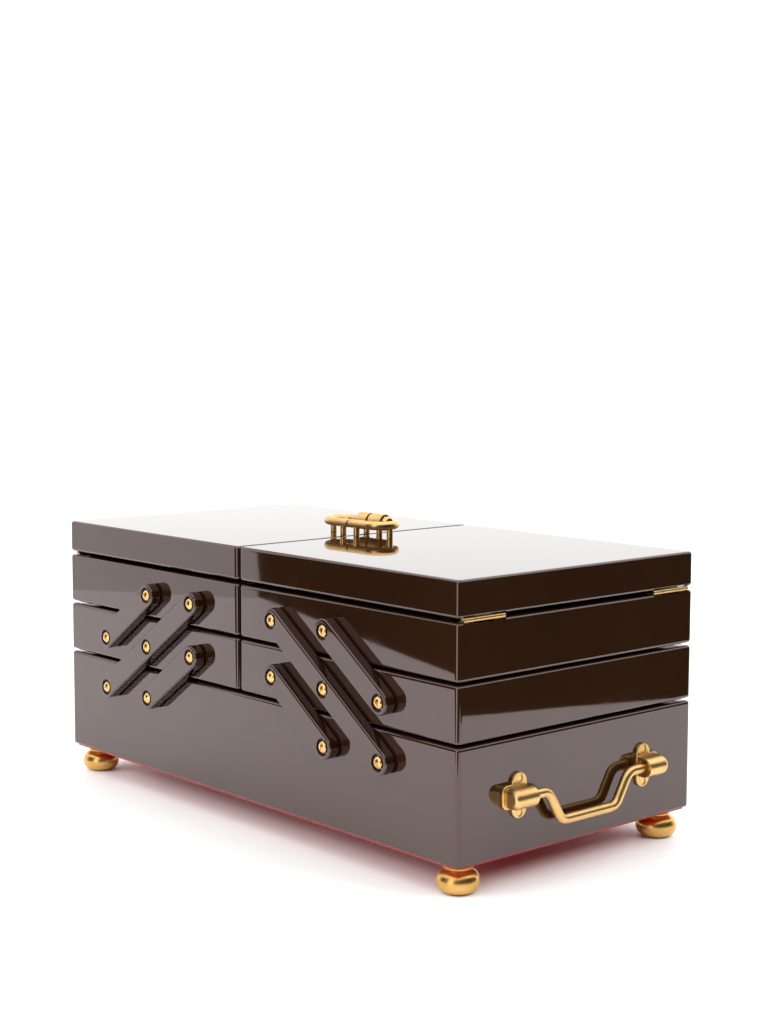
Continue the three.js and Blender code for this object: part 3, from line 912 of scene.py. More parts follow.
class ScrewRule(Graph):
    """A Geometry Nodes tree that sets a slotted, domed screw on every point it is given."""

    SOCKETS = {
        "Head Radius": "head",
        "Rim Height": "rim",
        "Crown Height": "crown",
        "Slot Width": "slot_width",
        "Slot Depth": "slot_depth",
        "Shank Radius": "shank",
        "Shank Length": "length",
    }
    ROUND_SEGMENTS = 36
    DOME_RINGS = 7
    DOME_POWER = 2.6
    LEAST_TURN = 0.0
    MOST_TURN = math.pi

    def __init__(self) -> None:
        """Builds the tree."""
        super().__init__(bpy.data.node_groups.new("slotted_screws", "GeometryNodeTree"))
        panel = self.tree.interface
        panel.new_socket(name="Points", in_out="INPUT", socket_type="NodeSocketGeometry")
        kinds = dict.fromkeys(self.SOCKETS, "NodeSocketFloat")
        kinds |= {"Turn Seed": "NodeSocketInt", "Finish": "NodeSocketMaterial"}
        sockets = {
            name: panel.new_socket(name=name, in_out="INPUT", socket_type=kind)
            for name, kind in kinds.items()
        }
        panel.new_socket(name="Screws", in_out="OUTPUT", socket_type="NodeSocketGeometry")
        self.identifiers = {name: socket.identifier for name, socket in sockets.items()}
        self.entry = self.node("NodeGroupInput")
        self._close(self._screw())

    def _value(self, name: str) -> Val:
        """Gives one of the tree's number inputs."""
        return Val(self, self.entry.outputs[name])

    def _vector(self, x: Any = 0.0, y: Any = 0.0, z: Any = 0.0) -> bpy.types.NodeSocket:
        """Puts three values together."""
        return self.node("ShaderNodeCombineXYZ", {}, {"X": x, "Y": y, "Z": z}).outputs[0]

    def _bar(self, radius: Val, depth: Val, rings: int) -> bpy.types.Node:
        """Makes a round bar along Z."""
        return self.node(
            "GeometryNodeMeshCylinder",
            {},
            {"Vertices": self.ROUND_SEGMENTS, "Fill Segments": rings, "Radius": radius, "Depth": depth},
        )

    def _moved(self, mesh: Any, offset: Any) -> bpy.types.NodeSocket:
        """Moves a mesh."""
        return self.node("GeometryNodeTransform", {}, {"Geometry": mesh, "Translation": offset}).outputs[0]

    def _screw(self) -> bpy.types.NodeSocket:
        """Makes one screw that stands on its seat and points along Z."""
        head, rim, crown = self._value("Head Radius"), self._value("Rim Height"), self._value("Crown Height")
        bar = self._bar(head, rim, self.DOME_RINGS)
        position = self.node("GeometryNodeInputPosition").outputs[0]
        parts = self.node("ShaderNodeSeparateXYZ", {}, {0: position})
        x, y = Val(self, parts.outputs["X"]), Val(self, parts.outputs["Y"])
        share = ((x * x + y * y) ** 0.5) / head
        rise = crown * (1.0 - share**self.DOME_POWER)
        dome = self.node(
            "GeometryNodeSetPosition",
            {},
            {
                "Geometry": bar.outputs["Mesh"],
                "Selection": bar.outputs["Top"],
                "Offset": self._vector(z=rise),
            },
        )
        raised = self._moved(dome.outputs[0], self._vector(z=rim * 0.5))
        depth = self._value("Slot Depth")
        size = self._vector(head * 2.4, self._value("Slot Width"), depth * 2.0)
        cutter = self.node("GeometryNodeMeshCube", {}, {"Size": size})
        slot = self._moved(cutter.outputs["Mesh"], self._vector(z=rim + crown))
        cut = self.node(
            "GeometryNodeMeshBoolean", {"operation": "DIFFERENCE"}, {"Mesh 1": raised, "Mesh 2": slot}
        )
        length = self._value("Shank Length")
        shank = self._bar(self._value("Shank Radius"), length, 1)
        lowered = self._moved(shank.outputs["Mesh"], self._vector(z=length * -0.5 + rim * 0.25))
        both = self.node("GeometryNodeJoinGeometry", {}, {0: cut.outputs[0]})
        self.tree.links.new(lowered, both.inputs[0])
        return both.outputs[0]

    def _close(self, screw: bpy.types.NodeSocket) -> None:
        """Sets the screw on the points, each turned by its own amount, and ends the tree."""
        vector = {"data_type": "FLOAT_VECTOR"}
        aim = self.node("GeometryNodeInputNamedAttribute", vector, {"Name": "aim"})
        aligned = self.node("FunctionNodeAlignRotationToVector", {"axis": "Z"}, {"Vector": aim.outputs[0]})
        seed = {"Seed": self.entry.outputs["Turn Seed"]}
        turn = self.node("FunctionNodeRandomValue", {"data_type": "FLOAT"}, seed)
        turn.inputs[2].default_value = self.LEAST_TURN
        turn.inputs[3].default_value = self.MOST_TURN
        angle = {"Axis": (0.0, 0.0, 1.0), "Angle": turn.outputs[1]}
        spin = self.node("FunctionNodeAxisAngleToRotation", {}, angle)
        turned = self.node(
            "FunctionNodeRotateRotation",
            {"rotation_space": "LOCAL"},
            {"Rotation": aligned.outputs[0], "Rotate By": spin.outputs[0]},
        )
        placed = self.node(
            "GeometryNodeInstanceOnPoints",
            {},
            {
                "Points": self.entry.outputs["Points"],
                "Instance": screw,
                "Rotation": turned.outputs[0],
            },
        )
        real = self.node("GeometryNodeRealizeInstances", {}, {"Geometry": placed.outputs[0]})
        finished = self.node(
            "GeometryNodeSetMaterial",
            {},
            {"Geometry": real.outputs[0], "Material": self.entry.outputs["Finish"]},
        )
        self.node("NodeGroupOutput", {}, {0: finished.outputs[0]})

    def mesh(
        self, seats: Sequence[Seat], size: ScrewSize, finish: bpy.types.Material
    ) -> bpy.types.Mesh:
        """Runs the tree.

        Args:
            seats: (point under the head, direction that the head faces) of each screw.
            size: The screw's sizes.
            finish: Its material.

        Returns:
            One plain mesh of all the screws.
        """
        points = bpy.data.meshes.new("screw_points")
        points.from_pydata([tuple(seat) for seat, _ in seats], [], [])
        aim = points.attributes.new("aim", "FLOAT_VECTOR", "POINT")
        aim.data.foreach_set("vector", [value for _, way in seats for value in way])
        holder = temporary(points)
        modifier = holder.modifiers.new("screws", "NODES")
        modifier.node_group = self.tree
        for name, key in self.SOCKETS.items():
            modifier[self.identifiers[name]] = getattr(size, key)
        modifier[self.identifiers["Turn Seed"]] = size.seed
        modifier[self.identifiers["Finish"]] = finish
        made = evaluated_copy(holder)
        bpy.data.objects.remove(holder)
        return made


@dataclass
class PivotScrews:
    """The shoulder screws that the arms turn on, with the nut strips behind them."""

    bench: Bench
    rule: ScrewRule
    size: ScrewSize = ScrewSize(
        head=3.5 * MM,
        rim=1.6 * MM,
        crown=1.5 * MM,
        slot_width=0.75 * MM,
        slot_depth=0.75 * MM,
        shank=2.0 * MM,
        length=13.2 * MM,
        seed=7,
    )
    shoulder: float = 2.6 * MM
    shoulder_standout: float = 0.9 * MM
    strip_height: float = 10 * MM
    strip_overhang: float = 6 * MM
    strip_thickness: float = 2 * MM
    wall: float = 8 * MM

    def build(self) -> None:
        """Makes the screws and strips of the base, the lower trays and the upper trays."""
        rows = {side: Pivots.of(side) for side in SIDES}
        base = [(side, [p.base_outer, p.base_inner]) for side, p in rows.items()]
        self.set_of("base", base, "base_screws")
        for side, p in rows.items():
            lower = [(side, [p.lower_outer, p.lower_middle, p.lower_inner])]
            self.set_of(f"{side}_lower_tray", lower, "lower_tray_screws")
            self.set_of(f"{side}_upper_tray", [(side, [p.upper_outer, p.upper_inner])], "upper_tray_screws")

    def set_of(self, body: str, rows: Sequence[tuple[str, Sequence[Vector]]], node_end: str) -> None:
        """Makes one body's screws and strips.

        Args:
            body: The body.
            rows: (side, pivots) of each row of screws, which both faces have.
            node_end: The end of the names of the CAD nodes that they stand for.
        """
        nodes, seats, backs = [], [], []
        for side, pivots in rows:
            for face, way in FACES.items():
                node = f"{side}_{face}_{node_end}"
                nodes.append(node)
                low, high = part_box(node)
                crown = max(abs(low.y), abs(high.y))
                inner = min(abs(low.y), abs(high.y))
                out = Vector((0.0, way, 0.0))
                under = crown - self.size.rim - self.size.crown
                seats += [(pivot + out * under, out) for pivot in pivots]
                backs.append(self._strip(pivots, way, inner))
                shoulders = [
                    (self.shoulder, inner + self.strip_thickness / 2),
                    (self.shoulder, inner + self.wall + self.shoulder_standout),
                ]
                backs += [lathe(shoulders, pivot, out, 24) for pivot in pivots]
        finishes = self.bench.finishes
        material = finishes.material(finishes.screw_brass)
        heads = self.rule.mesh(seats, self.size, material)
        self.bench.piece(f"{body}_pivot_screws", heads, body, finishes.screw_brass, nodes)
        self.bench.piece(f"{body}_nut_strips", gathered(backs), body, finishes.screw_brass)

    def _strip(self, pivots: Sequence[Vector], way: int, inner: float) -> bpy.types.Mesh:
        """Makes the strip that one row of screws threads into."""
        xs = sorted(pivot.x for pivot in pivots)
        middle = pivots[0].z
        half = self.strip_height / 2
        near = (xs[0] - self.strip_overhang, middle - half)
        far = (xs[-1] + self.strip_overhang, middle + half)
        outline = rounded_rectangle(near, far, 2 * MM, 0.5 * MM)
        levels = edge_levels(inner, inner + self.strip_thickness, 0.3 * MM, 0.1 * MM)
        return slab(outline, levels, lambda a, b, height: Vector((a, way * height, b)))


# ---- Feet ----


@dataclass
class Feet:
    """Four turned bun feet, each with a felt pad let into its underside."""

    bench: Bench
    flat: float = 6.2 * MM
    bun_half_height: float = 6.9 * MM
    pad: float = 5.3 * MM
    pad_depth: float = 0.6 * MM
    pad_lip: float = 0.12 * MM
    neck: float = 8.0 * MM
    collar: float = 9.4 * MM

    def build(self) -> None:
        """Makes the feet."""
        for side in SIDES:
            for face in FACES:
                self.foot(f"{side}_{face}_foot")

    def _profile(self, radius: float, top: float) -> list[Point]:
        """Gives a foot's profile from the middle of its underside up."""
        swell = radius - self.flat
        height = self.bun_half_height
        turns = [math.radians(angle) for angle in range(-90, 61, 10)]
        bun = [(self.flat + swell * math.cos(t), height + height * math.sin(t)) for t in turns]
        z = bun[-1][1]
        waist = [
            (self.neck + 0.45 * MM, z + 0.75 * MM),
            (self.neck + 0.05 * MM, z + 1.4 * MM),
            (self.neck + 0.1 * MM, z + 2.1 * MM),
            (self.neck + 0.6 * MM, z + 2.8 * MM),
            (self.collar - 0.25 * MM, z + 3.15 * MM),
            (self.collar, z + 3.45 * MM),
            (self.collar, top - 0.25 * MM),
            (self.collar - 0.25 * MM, top),
        ]
        recess = [
            (0.3 * MM, self.pad_depth),
            (self.pad, self.pad_depth),
            (self.pad, self.pad_lip),
            (self.pad + self.pad_lip, 0.0),
        ]
        return recess + bun + waist

    def foot(self, node: str) -> None:
        """Makes one foot and its pad."""
        low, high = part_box(node)
        centre = (low + high) / 2
        centre.z = 0.0
        up = Vector((0.0, 0.0, 1.0))
        radius = (high.x - low.x) / 2
        finishes = self.bench.finishes
        turned = lathe(self._profile(radius, high.z), centre, up, 64)
        self.bench.piece(f"{node}_turned", turned, "base", finishes.spun_brass, [node])
        pad = lathe(bar_profile(self.pad - 0.1 * MM, 0.02 * MM, self.pad_depth, 0.15 * MM), centre, up, 32)
        self.bench.piece(f"{node}_pad", pad, "base", finishes.brown_felt)


# ---- Bail handles ----


@dataclass
class Handles:
    """A hanging bail on each end, in two screwed brackets."""

    bench: Bench
    rule: ScrewRule
    rod: float = 3 * MM
    upper_bend: float = 34.8 * MM
    lower_bend: float = 23.4 * MM
    bend: float = 5 * MM
    bend_steps: int = 9
    plate: float = 1.9 * MM
    lug_width: float = 11.7 * MM
    flange_half_height: float = 7 * MM
    flange_corner: float = 4 * MM
    hood_inner: float = 48 * MM
    hood_outer: float = 65.3 * MM
    hood_half_height: float = 6.1 * MM
    hood_round: float = 3.5 * MM
    socket: float = 3.4 * MM
    socket_depth: float = 13 * MM
    mouth: float = 4.6 * MM
    mouth_depth: float = 1.5 * MM
    lug_y: float = 53.4 * MM
    screw_drop: float = 9.9 * MM
    seat: float = 2.5 * MM
    seat_depth: float = 0.6 * MM
    rod_steps: int = 32
    screws: ScrewSize = ScrewSize(
        head=2.15 * MM,
        rim=0.35 * MM,
        crown=0.35 * MM,
        slot_width=0.55 * MM,
        slot_depth=0.55 * MM,
        shank=1.2 * MM,
        length=6 * MM,
        seed=11,
    )

    def build(self) -> None:
        """Makes both bails, their brackets and the brackets' screws."""
        seats = []
        for side, sign in SIDES.items():
            self.bail(side)
            for face, way in FACES.items():
                seats += self.bracket(side, sign, face, way)
        finishes = self.bench.finishes
        heads = self.rule.mesh(seats, self.screws, finishes.material(finishes.screw_brass))
        self.bench.piece("handle_bracket_screws", heads, "base", finishes.screw_brass)

    def _axis(self, side: str) -> Vector:
        """Gives the middle of a bail's axis."""
        return joint_at(f"{side}_bail_swing")

    def bail(self, side: str) -> None:
        """Makes one bail from a bent rod."""
        low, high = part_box(f"{side}_bail_handle")
        axis = self._axis(side)
        drop = low.z + self.rod - axis.z
        corners = [
            Vector((axis.x, y, axis.z + z))
            for y, z in (
                (low.y, 0.0),
                (-self.upper_bend, 0.0),
                (-self.lower_bend, drop),
                (self.lower_bend, drop),
                (self.upper_bend, 0.0),
                (high.y, 0.0),
            )
        ]
        path = [corners[0]]
        for before, corner, after in zip(corners, corners[1:], corners[2:]):
            start = corner + (before - corner).normalized() * self.bend
            end = corner + (after - corner).normalized() * self.bend
            for step in range(self.bend_steps + 1):
                t = step / self.bend_steps
                path.append(start * (1 - t) ** 2 + corner * (2 * t * (1 - t)) + end * t**2)
        path.append(corners[-1])
        rod = sweep(path, self.rod, Vector((1.0, 0.0, 0.0)), 0.4 * MM, self.rod_steps)
        brass = self.bench.finishes.drawn_brass
        self.bench.piece(f"{side}_bail_rod", rod, f"{side}_bail", brass, [f"{side}_bail_handle"])

    def bracket(self, side: str, sign: int, face: str, way: int) -> list[Seat]:
        """Makes one bracket.

        Args:
            side: The end that it is on.
            sign: 1 at the right end and -1 at the left.
            face: The face that it is nearer.
            way: -1 towards the front and 1 towards the rear.

        Returns:
            The seats of its two screws.
        """
        node = f"{side}_{face}_handle_bracket"
        low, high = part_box(node)
        inner_x = min(abs(low.x), abs(high.x))
        outer_x = max(abs(low.x), abs(high.x))
        axis = self._axis(side)
        axis_x = abs(axis.x)
        half = (high.z - low.z) / 2
        ys = sorted((abs(low.y), abs(high.y)))

        def on_end(a: float, b: float, height: float) -> Vector:
            """Places an outline of (outwards along Y, up) on the end wall."""
            return Vector((sign * height, way * a, axis.z + b))

        def along_axis(a: float, b: float, height: float) -> Vector:
            """Places an outline of (out from the wall, up) across the bail's axis."""
            return Vector((sign * a, way * height, axis.z + b))

        radius = self.lug_width / 2
        centre_y = self.lug_y

        def lugs(inset: float) -> list[Point]:
            """Gives the upright round-ended plate."""
            reach = half - radius
            upper = arc((centre_y, reach), radius - inset, 0, 180, 20)
            return upper + arc((centre_y, -reach), radius - inset, 180, 360, 20)

        flange_low = (ys[0], -self.flange_half_height)
        flange_high = (ys[1], self.flange_half_height)
        flange = rounded_rectangle(flange_low, flange_high, self.flange_corner, 0.5 * MM)
        nose = outer_x - axis_x

        def hood(inset: float) -> list[Point]:
            """Gives the round-nosed section of the hood."""
            tall = self.hood_half_height - inset
            turns = [math.radians(-90 + 180 * step / 24) for step in range(25)]
            curve = [(axis_x + (nose - inset) * math.cos(t), tall * math.sin(t)) for t in turns]
            return [(inner_x, -tall), *curve, (inner_x, tall)]

        face_x = inner_x + self.plate
        plate = slab(lugs, edge_levels(inner_x, face_x, 0.1 * MM, 0.5 * MM), on_end)
        rim = slab(flange, edge_levels(inner_x, face_x + 0.25 * MM, 0.1 * MM, 0.75 * MM), on_end)
        cover_levels = edge_levels(self.hood_inner, self.hood_outer, 0.5 * MM, self.hood_round)
        cover = slab(hood, cover_levels, along_axis)
        out = Vector((0.0, way, 0.0))
        foot = Vector((axis.x, 0.0, axis.z))
        bore = lathe(
            [
                (self.socket, self.hood_inner + self.socket_depth),
                (self.socket, self.hood_inner + self.mouth_depth),
                (self.mouth, self.hood_inner + self.mouth_depth),
                (self.mouth, self.hood_inner - 3 * MM),
            ],
            foot,
            out,
            36,
        )
        finishes = self.bench.finishes
        outwards = Vector((sign, 0.0, 0.0))
        under = face_x - self.seat_depth
        seats = [Vector((0.0, way * centre_y, axis.z + up * self.screw_drop)) for up in (1, -1)]
        recesses = [
            lathe([(self.seat, under), (self.seat, face_x + CUT_PAST)], seat, outwards, 28) for seat in seats
        ]
        casting = shape(plate, joins=[rim, cover], cuts=[bore, *recesses])
        self.bench.piece(f"{node}_casting", casting, "base", finishes.drawn_brass, [node])
        return [(seat + outwards * under, outwards) for seat in seats]


# ---- Lid hinges ----


@dataclass
class Hinges:
    """Two butt hinges at the outer end of each lid."""

    bench: Bench
    rule: ScrewRule
    knuckle: float = 1.5 * MM
    knuckle_length: float = 8.5 * MM
    leaf: float = 1 * MM
    gap: float = 0.2 * MM
    pin: float = 0.6 * MM
    web: float = 0.5 * MM
    leaf_width: float = 3.7 * MM
    screw_spacing: float = 10 * MM
    screws: ScrewSize = ScrewSize(
        head=1.15 * MM,
        rim=0.1 * MM,
        crown=0.08 * MM,
        slot_width=0.3 * MM,
        slot_depth=0.2 * MM,
        shank=0.7 * MM,
        length=4 * MM,
        seed=23,
    )

    def build(self) -> None:
        """Makes the leaves of all four hinges and their screws."""
        for side, sign in SIDES.items():
            for leaf, body, up in (("tray", f"{side}_upper_tray", 1), ("lid", f"{side}_lid", -1)):
                seats = []
                for face, way in FACES.items():
                    seats += self.leaf_of(f"{side}_{face}_hinge_{leaf}_leaf", body, sign, up, way)
                finishes = self.bench.finishes
                heads = self.rule.mesh(seats, self.screws, finishes.material(finishes.screw_brass))
                self.bench.piece(f"{body}_hinge_screws", heads, body, finishes.screw_brass)

    def leaf_of(self, node: str, body: str, sign: int, up: int, way: int) -> list[Seat]:
        """Makes one leaf with its knuckles.

        Args:
            node: The CAD node that it stands for.
            body: The body that it rides on.
            sign: 1 at the right end and -1 at the left.
            up: 1 for the leaf in the tray's rim, which faces up, and -1 for the lid's.
            way: -1 for a hinge near the front and 1 for one near the rear.

        Returns:
            The seats of its three screws.
        """
        low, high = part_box(node)
        axis = joint_at(f"{node.split('_')[0]}_lid_hinge")
        rim = low.z + self.leaf if up > 0 else high.z - self.leaf
        outside = rim - up * self.leaf
        inner_x = min(abs(low.x), abs(high.x))
        xs = sorted(sign * x for x in (inner_x, inner_x + self.leaf_width))
        plan = rounded_rectangle((xs[0], low.y), (xs[1], high.y), 0.5 * MM, 0.1 * MM, 3)
        zs = sorted((outside, rim))
        plate = slab(plan, edge_levels(zs[0], zs[1], 0.12 * MM, 0.12 * MM), upright)
        ends = [(low.y, low.y + self.knuckle_length), (high.y - self.knuckle_length, high.y)]
        spans = ends if up > 0 else [(ends[0][1] + self.gap, ends[1][0] - self.gap)]
        along = Vector((0.0, 1.0, 0.0))
        centre = Vector((axis.x, 0.0, axis.z))
        barrels = [bar_profile(self.knuckle, start, end, 0.15 * MM) for start, end in spans]
        parts = [lathe(barrel, centre, along, 28) for barrel in barrels]
        web_xs = sorted((sign * (inner_x + self.leaf_width - 1 * MM), axis.x))
        web_zs = sorted((outside + up * 0.02 * MM, axis.z - up * self.web))
        for start, end in spans:
            near, far = (web_xs[0], start + 0.1 * MM), (web_xs[1], end - 0.1 * MM)
            web = rounded_rectangle(near, far, 0.0, SQUARE_CORNER, 1)
            parts.append(slab(web, [(0.0, web_zs[0]), (0.0, web_zs[1])], upright))
        if up > 0:
            pin = bar_profile(self.pin, low.y + 1 * MM, high.y - 1 * MM, 0.1 * MM)
            parts.append(lathe(pin, centre, along, 16))
        brass = self.bench.finishes.drawn_brass
        self.bench.piece(f"{node}_brass", shape(plate, joins=parts), body, brass, [node])
        middle = (xs[0] + xs[1]) / 2
        centre_y = (low.y + high.y) / 2
        outwards = Vector((0.0, 0.0, up))
        return [
            (Vector((middle, centre_y + way * step * self.screw_spacing, rim - up * 0.08 * MM)), outwards)
            for step in (-1, 0, 1)
        ]


# ---- Clasp ----


@dataclass
class Clasp:
    """An oval gallery rail split at the join of the lids, with a barrel bolt behind it."""

    bench: Bench
    rail: float = 2.8 * MM
    half_length: float = 28.6 * MM
    half_width: float = 9.9 * MM
    split: float = 0.6 * MM
    rear_angle: float = 54.0
    pillar: float = 2.1 * MM
    pillar_x: float = 6.75 * MM
    bore: float = 2.7 * MM
    keeper_depth: float = 7 * MM
    cup: float = 4.75 * MM
    cup_depth: float = 6.2 * MM
    bolt: float = 1.6 * MM
    knob_length: float = 4 * MM
    knob_taper: float = 1.4 * MM
    knob: float = 4.4 * MM
    knob_end: float = 3.4 * MM
    knob_sides: int = 8

    def build(self) -> None:
        """Makes both halves of the rail, the keeper, the guide and the bolt."""
        self.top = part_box("right_lid")[1].z + 0.1 * MM
        low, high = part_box("clasp_bolt_guide")
        self.level = high.z - (high.y - low.y) / 2
        self.rear = (low.y + high.y) / 2
        self.middle = self.rear - self.half_width
        for side, sign in SIDES.items():
            self.half_rail(side, sign)
        self.barrels()
        self.sliding_bolt()

    def _pillar(self, x: float, y: float) -> bpy.types.Mesh:
        """Makes one round pillar from the lid to the middle of the rail."""
        profile = [
            (self.pillar - 0.15 * MM, self.top),
            (self.pillar, self.top + 0.15 * MM),
            (self.pillar, self.level),
        ]
        return lathe(profile, Vector((x, y, 0.0)), Vector((0.0, 0.0, 1.0)), 28)

    def half_rail(self, side: str, sign: int) -> None:
        """Makes one half of the rail on its two pillars."""
        centre = self.half_length - self.half_width
        end = self.rear_angle if sign > 0 else 90.0
        front = self.middle - self.half_width
        plan = [(self.split, front), *arc((centre, self.middle), self.half_width, -90, end, 22)]
        if sign < 0:
            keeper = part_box("clasp_keeper")[0].x
            plan.append((-keeper + 0.2 * MM, self.rear))
        path = [Vector((sign * x, y, self.level)) for x, y in plan]
        tube = sweep(path, self.rail, Vector((0.0, 0.0, 1.0)), 0.35 * MM, 32)
        spots = ((self.half_length, self.middle), (self.pillar_x, front))
        pillars = [self._pillar(sign * x, y) for x, y in spots]
        node = f"{side}_clasp_rail"
        whole = shape(tube, joins=pillars)
        self.bench.piece(f"{node}_brass", whole, f"{side}_lid", self.bench.finishes.rail_brass, [node])

    def barrels(self) -> None:
        """Makes the keeper and the bolt's guide, each on its own pillar."""
        axis = Vector((1.0, 0.0, 0.0))
        centre = Vector((0.0, self.rear, self.level))
        for node, body, bores in (
            ("clasp_keeper", "left_lid", self._keeper_bores),
            ("clasp_bolt_guide", "right_lid", self._guide_bores),
        ):
            low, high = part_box(node)
            radius = (high.y - low.y) / 2
            tube = lathe(bar_profile(radius, low.x, high.x, 0.45 * MM), centre, axis, 44)
            post = self._pillar((low.x + high.x) / 2, self.rear)
            cuts = [lathe(profile, centre, axis, 32) for profile in bores(low.x, high.x)]
            whole = shape(tube, joins=[post], cuts=cuts)
            self.bench.piece(f"{node}_barrel", whole, body, self.bench.finishes.rail_brass, [node])

    def _keeper_bores(self, _start: float, end: float) -> list[list[Point]]:
        """Gives the keeper's blind bore."""
        return [[(self.bore, end - self.keeper_depth), (self.bore, end + CUT_PAST)]]

    def _guide_bores(self, start: float, end: float) -> list[list[Point]]:
        """Gives the guide's through bore and the cup that the knob slides into."""
        through = [(self.bore, start - CUT_PAST), (self.bore, end + CUT_PAST)]
        return [through, [(self.cup, end - self.cup_depth), (self.cup, end + CUT_PAST)]]

    def sliding_bolt(self) -> None:
        """Makes the bolt with its faceted knob."""
        low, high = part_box("clasp_bolt")
        start = high.x - self.knob_length
        axis = Vector((1.0, 0.0, 0.0))
        centre = Vector((0.0, self.rear, self.level))
        rod = lathe(bar_profile(self.bolt, low.x, start + 0.5 * MM, 0.3 * MM), centre, axis, 28)
        waist = high.x - self.knob_taper
        profile = [
            (self.knob - 0.4 * MM, start),
            (self.knob, start + 0.4 * MM),
            (self.knob, waist),
            (self.knob_end + 0.2 * MM, high.x - 0.25 * MM),
            (self.knob_end - 0.3 * MM, high.x),
        ]
        knob = lathe(profile, centre, axis, self.knob_sides)
        whole = shape(rod, joins=[knob])
        brass = self.bench.finishes.rail_brass
        self.bench.piece("clasp_bolt_brass", whole, "clasp_bolt", brass, ["clasp_bolt"])


@dataclass
class Bumpers:
    """Small felt dots on the upper trays' rims, which the closed lids rest on."""

    bench: Bench
    radius: float = 2.4 * MM
    inset: float = 4.2 * MM
    spread: float = 70 * MM

    def build(self) -> None:
        """Makes two dots near the join on each upper tray."""
        for side, sign in SIDES.items():
            low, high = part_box(f"{side}_upper_tray")
            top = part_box(f"{side}_lid")[0].z
            x = sign * (min(abs(low.x), abs(high.x)) + self.inset)
            dots = [
                lathe(
                    bar_profile(self.radius, high.z, top - 0.05 * MM, 0.4 * MM),
                    Vector((x, way * self.spread, 0.0)),
                    Vector((0.0, 0.0, 1.0)),
                    24,
                )
                for way in FACES.values()
            ]
            finish = self.bench.finishes.brown_felt
            self.bench.piece(f"{side}_lid_bumpers", gathered(dots), f"{side}_upper_tray", finish)


# ---- Studio ----


@dataclass(frozen=True)
class Card:
    """A plain bright panel that reflections see: its corners and its brightness."""

    name: str
    corners: tuple[Corner, ...]
    brightness: float

    @classmethod
    def upright(cls, name: str, start: Point, end: Point, heights: Point, brightness: float) -> "Card":
        """Stands a card on a line between two points of the plan."""
        low, high = heights
        return cls(name, ((*start, low), (*end, low), (*end, high), (*start, high)), brightness)

    @classmethod
    def level(cls, name: str, near: Point, far: Point, height: float, brightness: float) -> "Card":
        """Hangs a level card between two opposite corners of the plan."""
        plan = (near, (far[0], near[1]), far, (near[0], far[1]))
        return cls(name, tuple((*corner, height) for corner in plan), brightness)


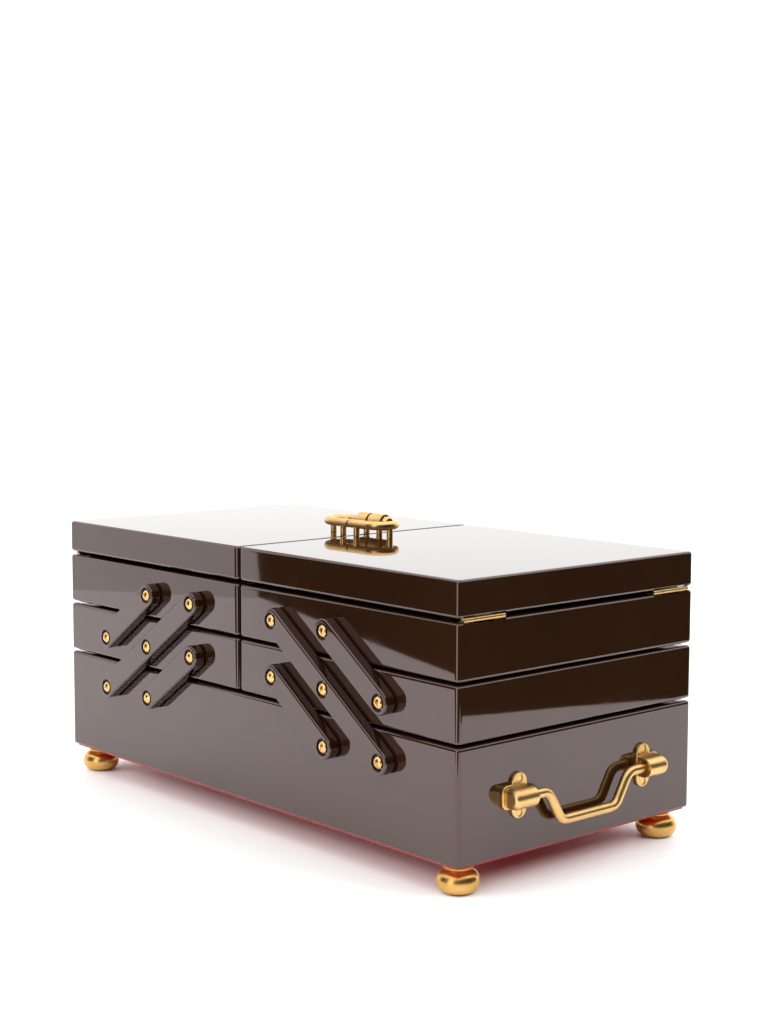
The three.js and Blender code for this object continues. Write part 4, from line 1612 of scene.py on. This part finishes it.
@dataclass
class Studio:
    """A white table and backdrop, soft lights and the camera."""

    floor_reach: float = 6.0
    table: tuple[Point, ...] = ((0.722, -0.216), (-0.053, 1.687), (-2.9, 0.75), (-2.125, -1.153))
    floor_colour: Colour = (0.88, 0.88, 0.88, 1.0)
    floor_glow: float = 1.05
    world_strength: float = 1.0
    cards: tuple[Card, ...] = field(
        default_factory=lambda: (
            Card.upright("left_panel", (-0.777, -0.704), (-2.6, 0.9), (-0.3, 1.6), 1.3),
            Card.upright("back_panel", (-2.9, 0.3), (1.2, 2.6), (-0.1, 1.3), 1.6),
            Card.upright("front_panel", (0.05, -1.55), (0.75, -1.5), (-0.9, 1.2), 2.2),
            Card.level("top_panel", (-3.0, -3.0), (2.6, 4.5), 2.5, 1.6),
        )
    )
    wall_brightness: float = 0.02
    room_reach: float = 5.0
    room_top: float = 4.0
    room_bottom: float = -3.0
    camera_at: Corner = (0.87827, -0.75094, 0.31243)
    camera_yaw: float = -48.66
    camera_pitch: float = 5.82
    camera_roll: float = 0.12
    lens: float = 61.6

    def build(self) -> None:
        """Makes the whole studio."""
        self.world()
        self.floors()
        for card in self.cards:
            self.card(card)
        self.walls()
        self.lamp("overhead_lamp", (-0.6, 0.3, 2.6), (-0.6, 0.3, 0.0), (10.0, 10.0), 620.0)
        self.lamp("front_lamp", (-0.7, -2.2, 1.1), (0.0, 0.0, 0.1), (1.5, 1.0), 30.0)
        self.lamp("side_lamp", (1.5, 0.5, 1.3), (0.0, 0.0, 0.1), (0.5, 0.9), 9.0)
        self.camera()

    def world(self) -> None:
        """Surrounds the camera with white, which lights and reflects in nothing."""
        world = bpy.data.worlds.new("white_surround")
        world.use_nodes = True
        background = world.node_tree.nodes["Background"]
        background.inputs["Color"].default_value = (1.0, 1.0, 1.0, 1.0)
        background.inputs["Strength"].default_value = self.world_strength
        world.cycles_visibility.glossy = False
        world.cycles_visibility.diffuse = False
        bpy.context.scene.world = world
        bpy.context.scene.view_settings.view_transform = "Standard"

    def _flat(
        self, name: str, corners: Sequence[Sequence[float]], material: bpy.types.Material
    ) -> bpy.types.Object:
        """Adds one flat stage panel."""
        mesh = bpy.data.meshes.new(name)
        mesh.from_pydata([tuple(corner) for corner in corners], [], [tuple(range(len(corners)))])
        mesh.materials.append(material)
        made = bpy.data.objects.new(name, mesh)
        bpy.context.scene.collection.objects.link(made)
        return made

    def floors(self) -> None:
        """Makes the table top, and the floor round it that reflections don't see."""
        shader = Shader("white_table")
        paper = shader.noise(60.0, 3.0)
        shadow_tone = (*(c * 0.99 for c in self.floor_colour[:3]), 1.0)
        shade = shader.mix(paper, self.floor_colour, shadow_tone)
        white = shader.surface({"Base Color": shade, "Roughness": 0.5, "Specular IOR Level": 0.3})
        self._flat("table_top", [(x, y, 0.0) for x, y in self.table], white)
        reach = self.floor_reach
        corners = [(-reach, -reach), (reach, -reach), (reach, reach), (-reach, reach)]
        glow = self._glow("floor_around", self.floor_glow)
        around = self._flat("floor_around", [(x, y, -0.4 * MM) for x, y in corners], glow)
        around.visible_glossy = False
        around.visible_diffuse = False

    def _glow(self, name: str, brightness: float) -> bpy.types.Material:
        """Makes a plain glowing material."""
        shader = Shader(name)
        white = (1.0, 1.0, 1.0, 1.0)
        glow = shader.node("ShaderNodeEmission", {}, {"Color": white, "Strength": brightness})
        shader.node("ShaderNodeOutputMaterial", {}, {"Surface": glow.outputs[0]})
        return shader.material

    @staticmethod
    def _only_reflected(panel: bpy.types.Object) -> None:
        """Hides a panel from everything but reflections."""
        panel.visible_camera = False
        panel.visible_diffuse = False
        panel.visible_shadow = False

    def card(self, card: Card) -> None:
        """Makes a panel that only reflections see."""
        self._only_reflected(self._flat(card.name, card.corners, self._glow(card.name, card.brightness)))

    def walls(self) -> None:
        """Makes the dim room that reflections see beyond the panels."""
        reach = self.room_reach
        top, bottom = self.room_top, self.room_bottom
        ring = [(-reach, -reach), (reach, -reach), (reach, reach), (-reach, reach)]
        material = self._glow("dim_room", self.wall_brightness)
        sheets = [
            [(*start, bottom), (*end, bottom), (*end, top), (*start, top)]
            for start, end in zip(ring, ring[1:] + ring[:1])
        ]
        sheets += [[(x, y, level) for x, y in ring] for level in (top, bottom)]
        for index, corners in enumerate(sheets):
            self._only_reflected(self._flat(f"dim_room_{index}", corners, material))

    def lamp(
        self,
        name: str,
        place: Corner,
        aim: Corner,
        size: Point,
        power: float,
    ) -> None:
        """Adds one soft lamp.

        Args:
            name: Its name.
            place: Where it hangs.
            aim: The point that it faces.
            size: Its width and height.
            power: Its power in watts.
        """
        data = bpy.data.lights.new(name, "AREA")
        data.shape = "RECTANGLE"
        data.size, data.size_y = size
        data.energy = power
        made = bpy.data.objects.new(name, data)
        made.location = place
        made.visible_glossy = False
        made.rotation_euler = (Vector(aim) - Vector(place)).to_track_quat("-Z", "Y").to_euler()
        bpy.context.scene.collection.objects.link(made)

    def camera(self) -> None:
        """Sets the camera."""
        yaw, pitch, roll = (math.radians(a) for a in (self.camera_yaw, self.camera_pitch, self.camera_roll))
        ahead = Vector((math.sin(yaw) * math.cos(pitch), math.cos(yaw) * math.cos(pitch), -math.sin(pitch)))
        level_right = ahead.cross(Vector((0.0, 0.0, 1.0))).normalized()
        level_up = level_right.cross(ahead)
        right = level_right * math.cos(roll) + level_up * math.sin(roll)
        up = right.cross(ahead)
        data = bpy.data.cameras.new("camera")
        data.lens = self.lens
        data.sensor_width = 36.0
        data.clip_start, data.clip_end = 0.01, 50.0
        made = bpy.data.objects.new("camera", data)
        bpy.context.scene.collection.objects.link(made)
        turn = Matrix((right, up, -ahead)).transposed().to_4x4()
        made.matrix_world = Matrix.Translation(Vector(self.camera_at)) @ turn
        bpy.context.scene.camera = made


def main() -> None:
    """Builds the studio and every sub-assembly."""
    logging.basicConfig(level=logging.INFO, format="%(name)s: %(message)s")
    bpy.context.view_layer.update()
    Studio().build()
    bench = Bench(Finishes())
    rule = ScrewRule()
    for assembly in (
        Boxes(bench),
        Arms(bench),
        PivotScrews(bench, rule),
        Feet(bench),
        Handles(bench, rule),
        Hinges(bench, rule),
        Clasp(bench),
        Bumpers(bench),
    ):
        LOG.info("building %s", type(assembly).__name__)
        assembly.build()


if __name__ == "__main__":
    main()
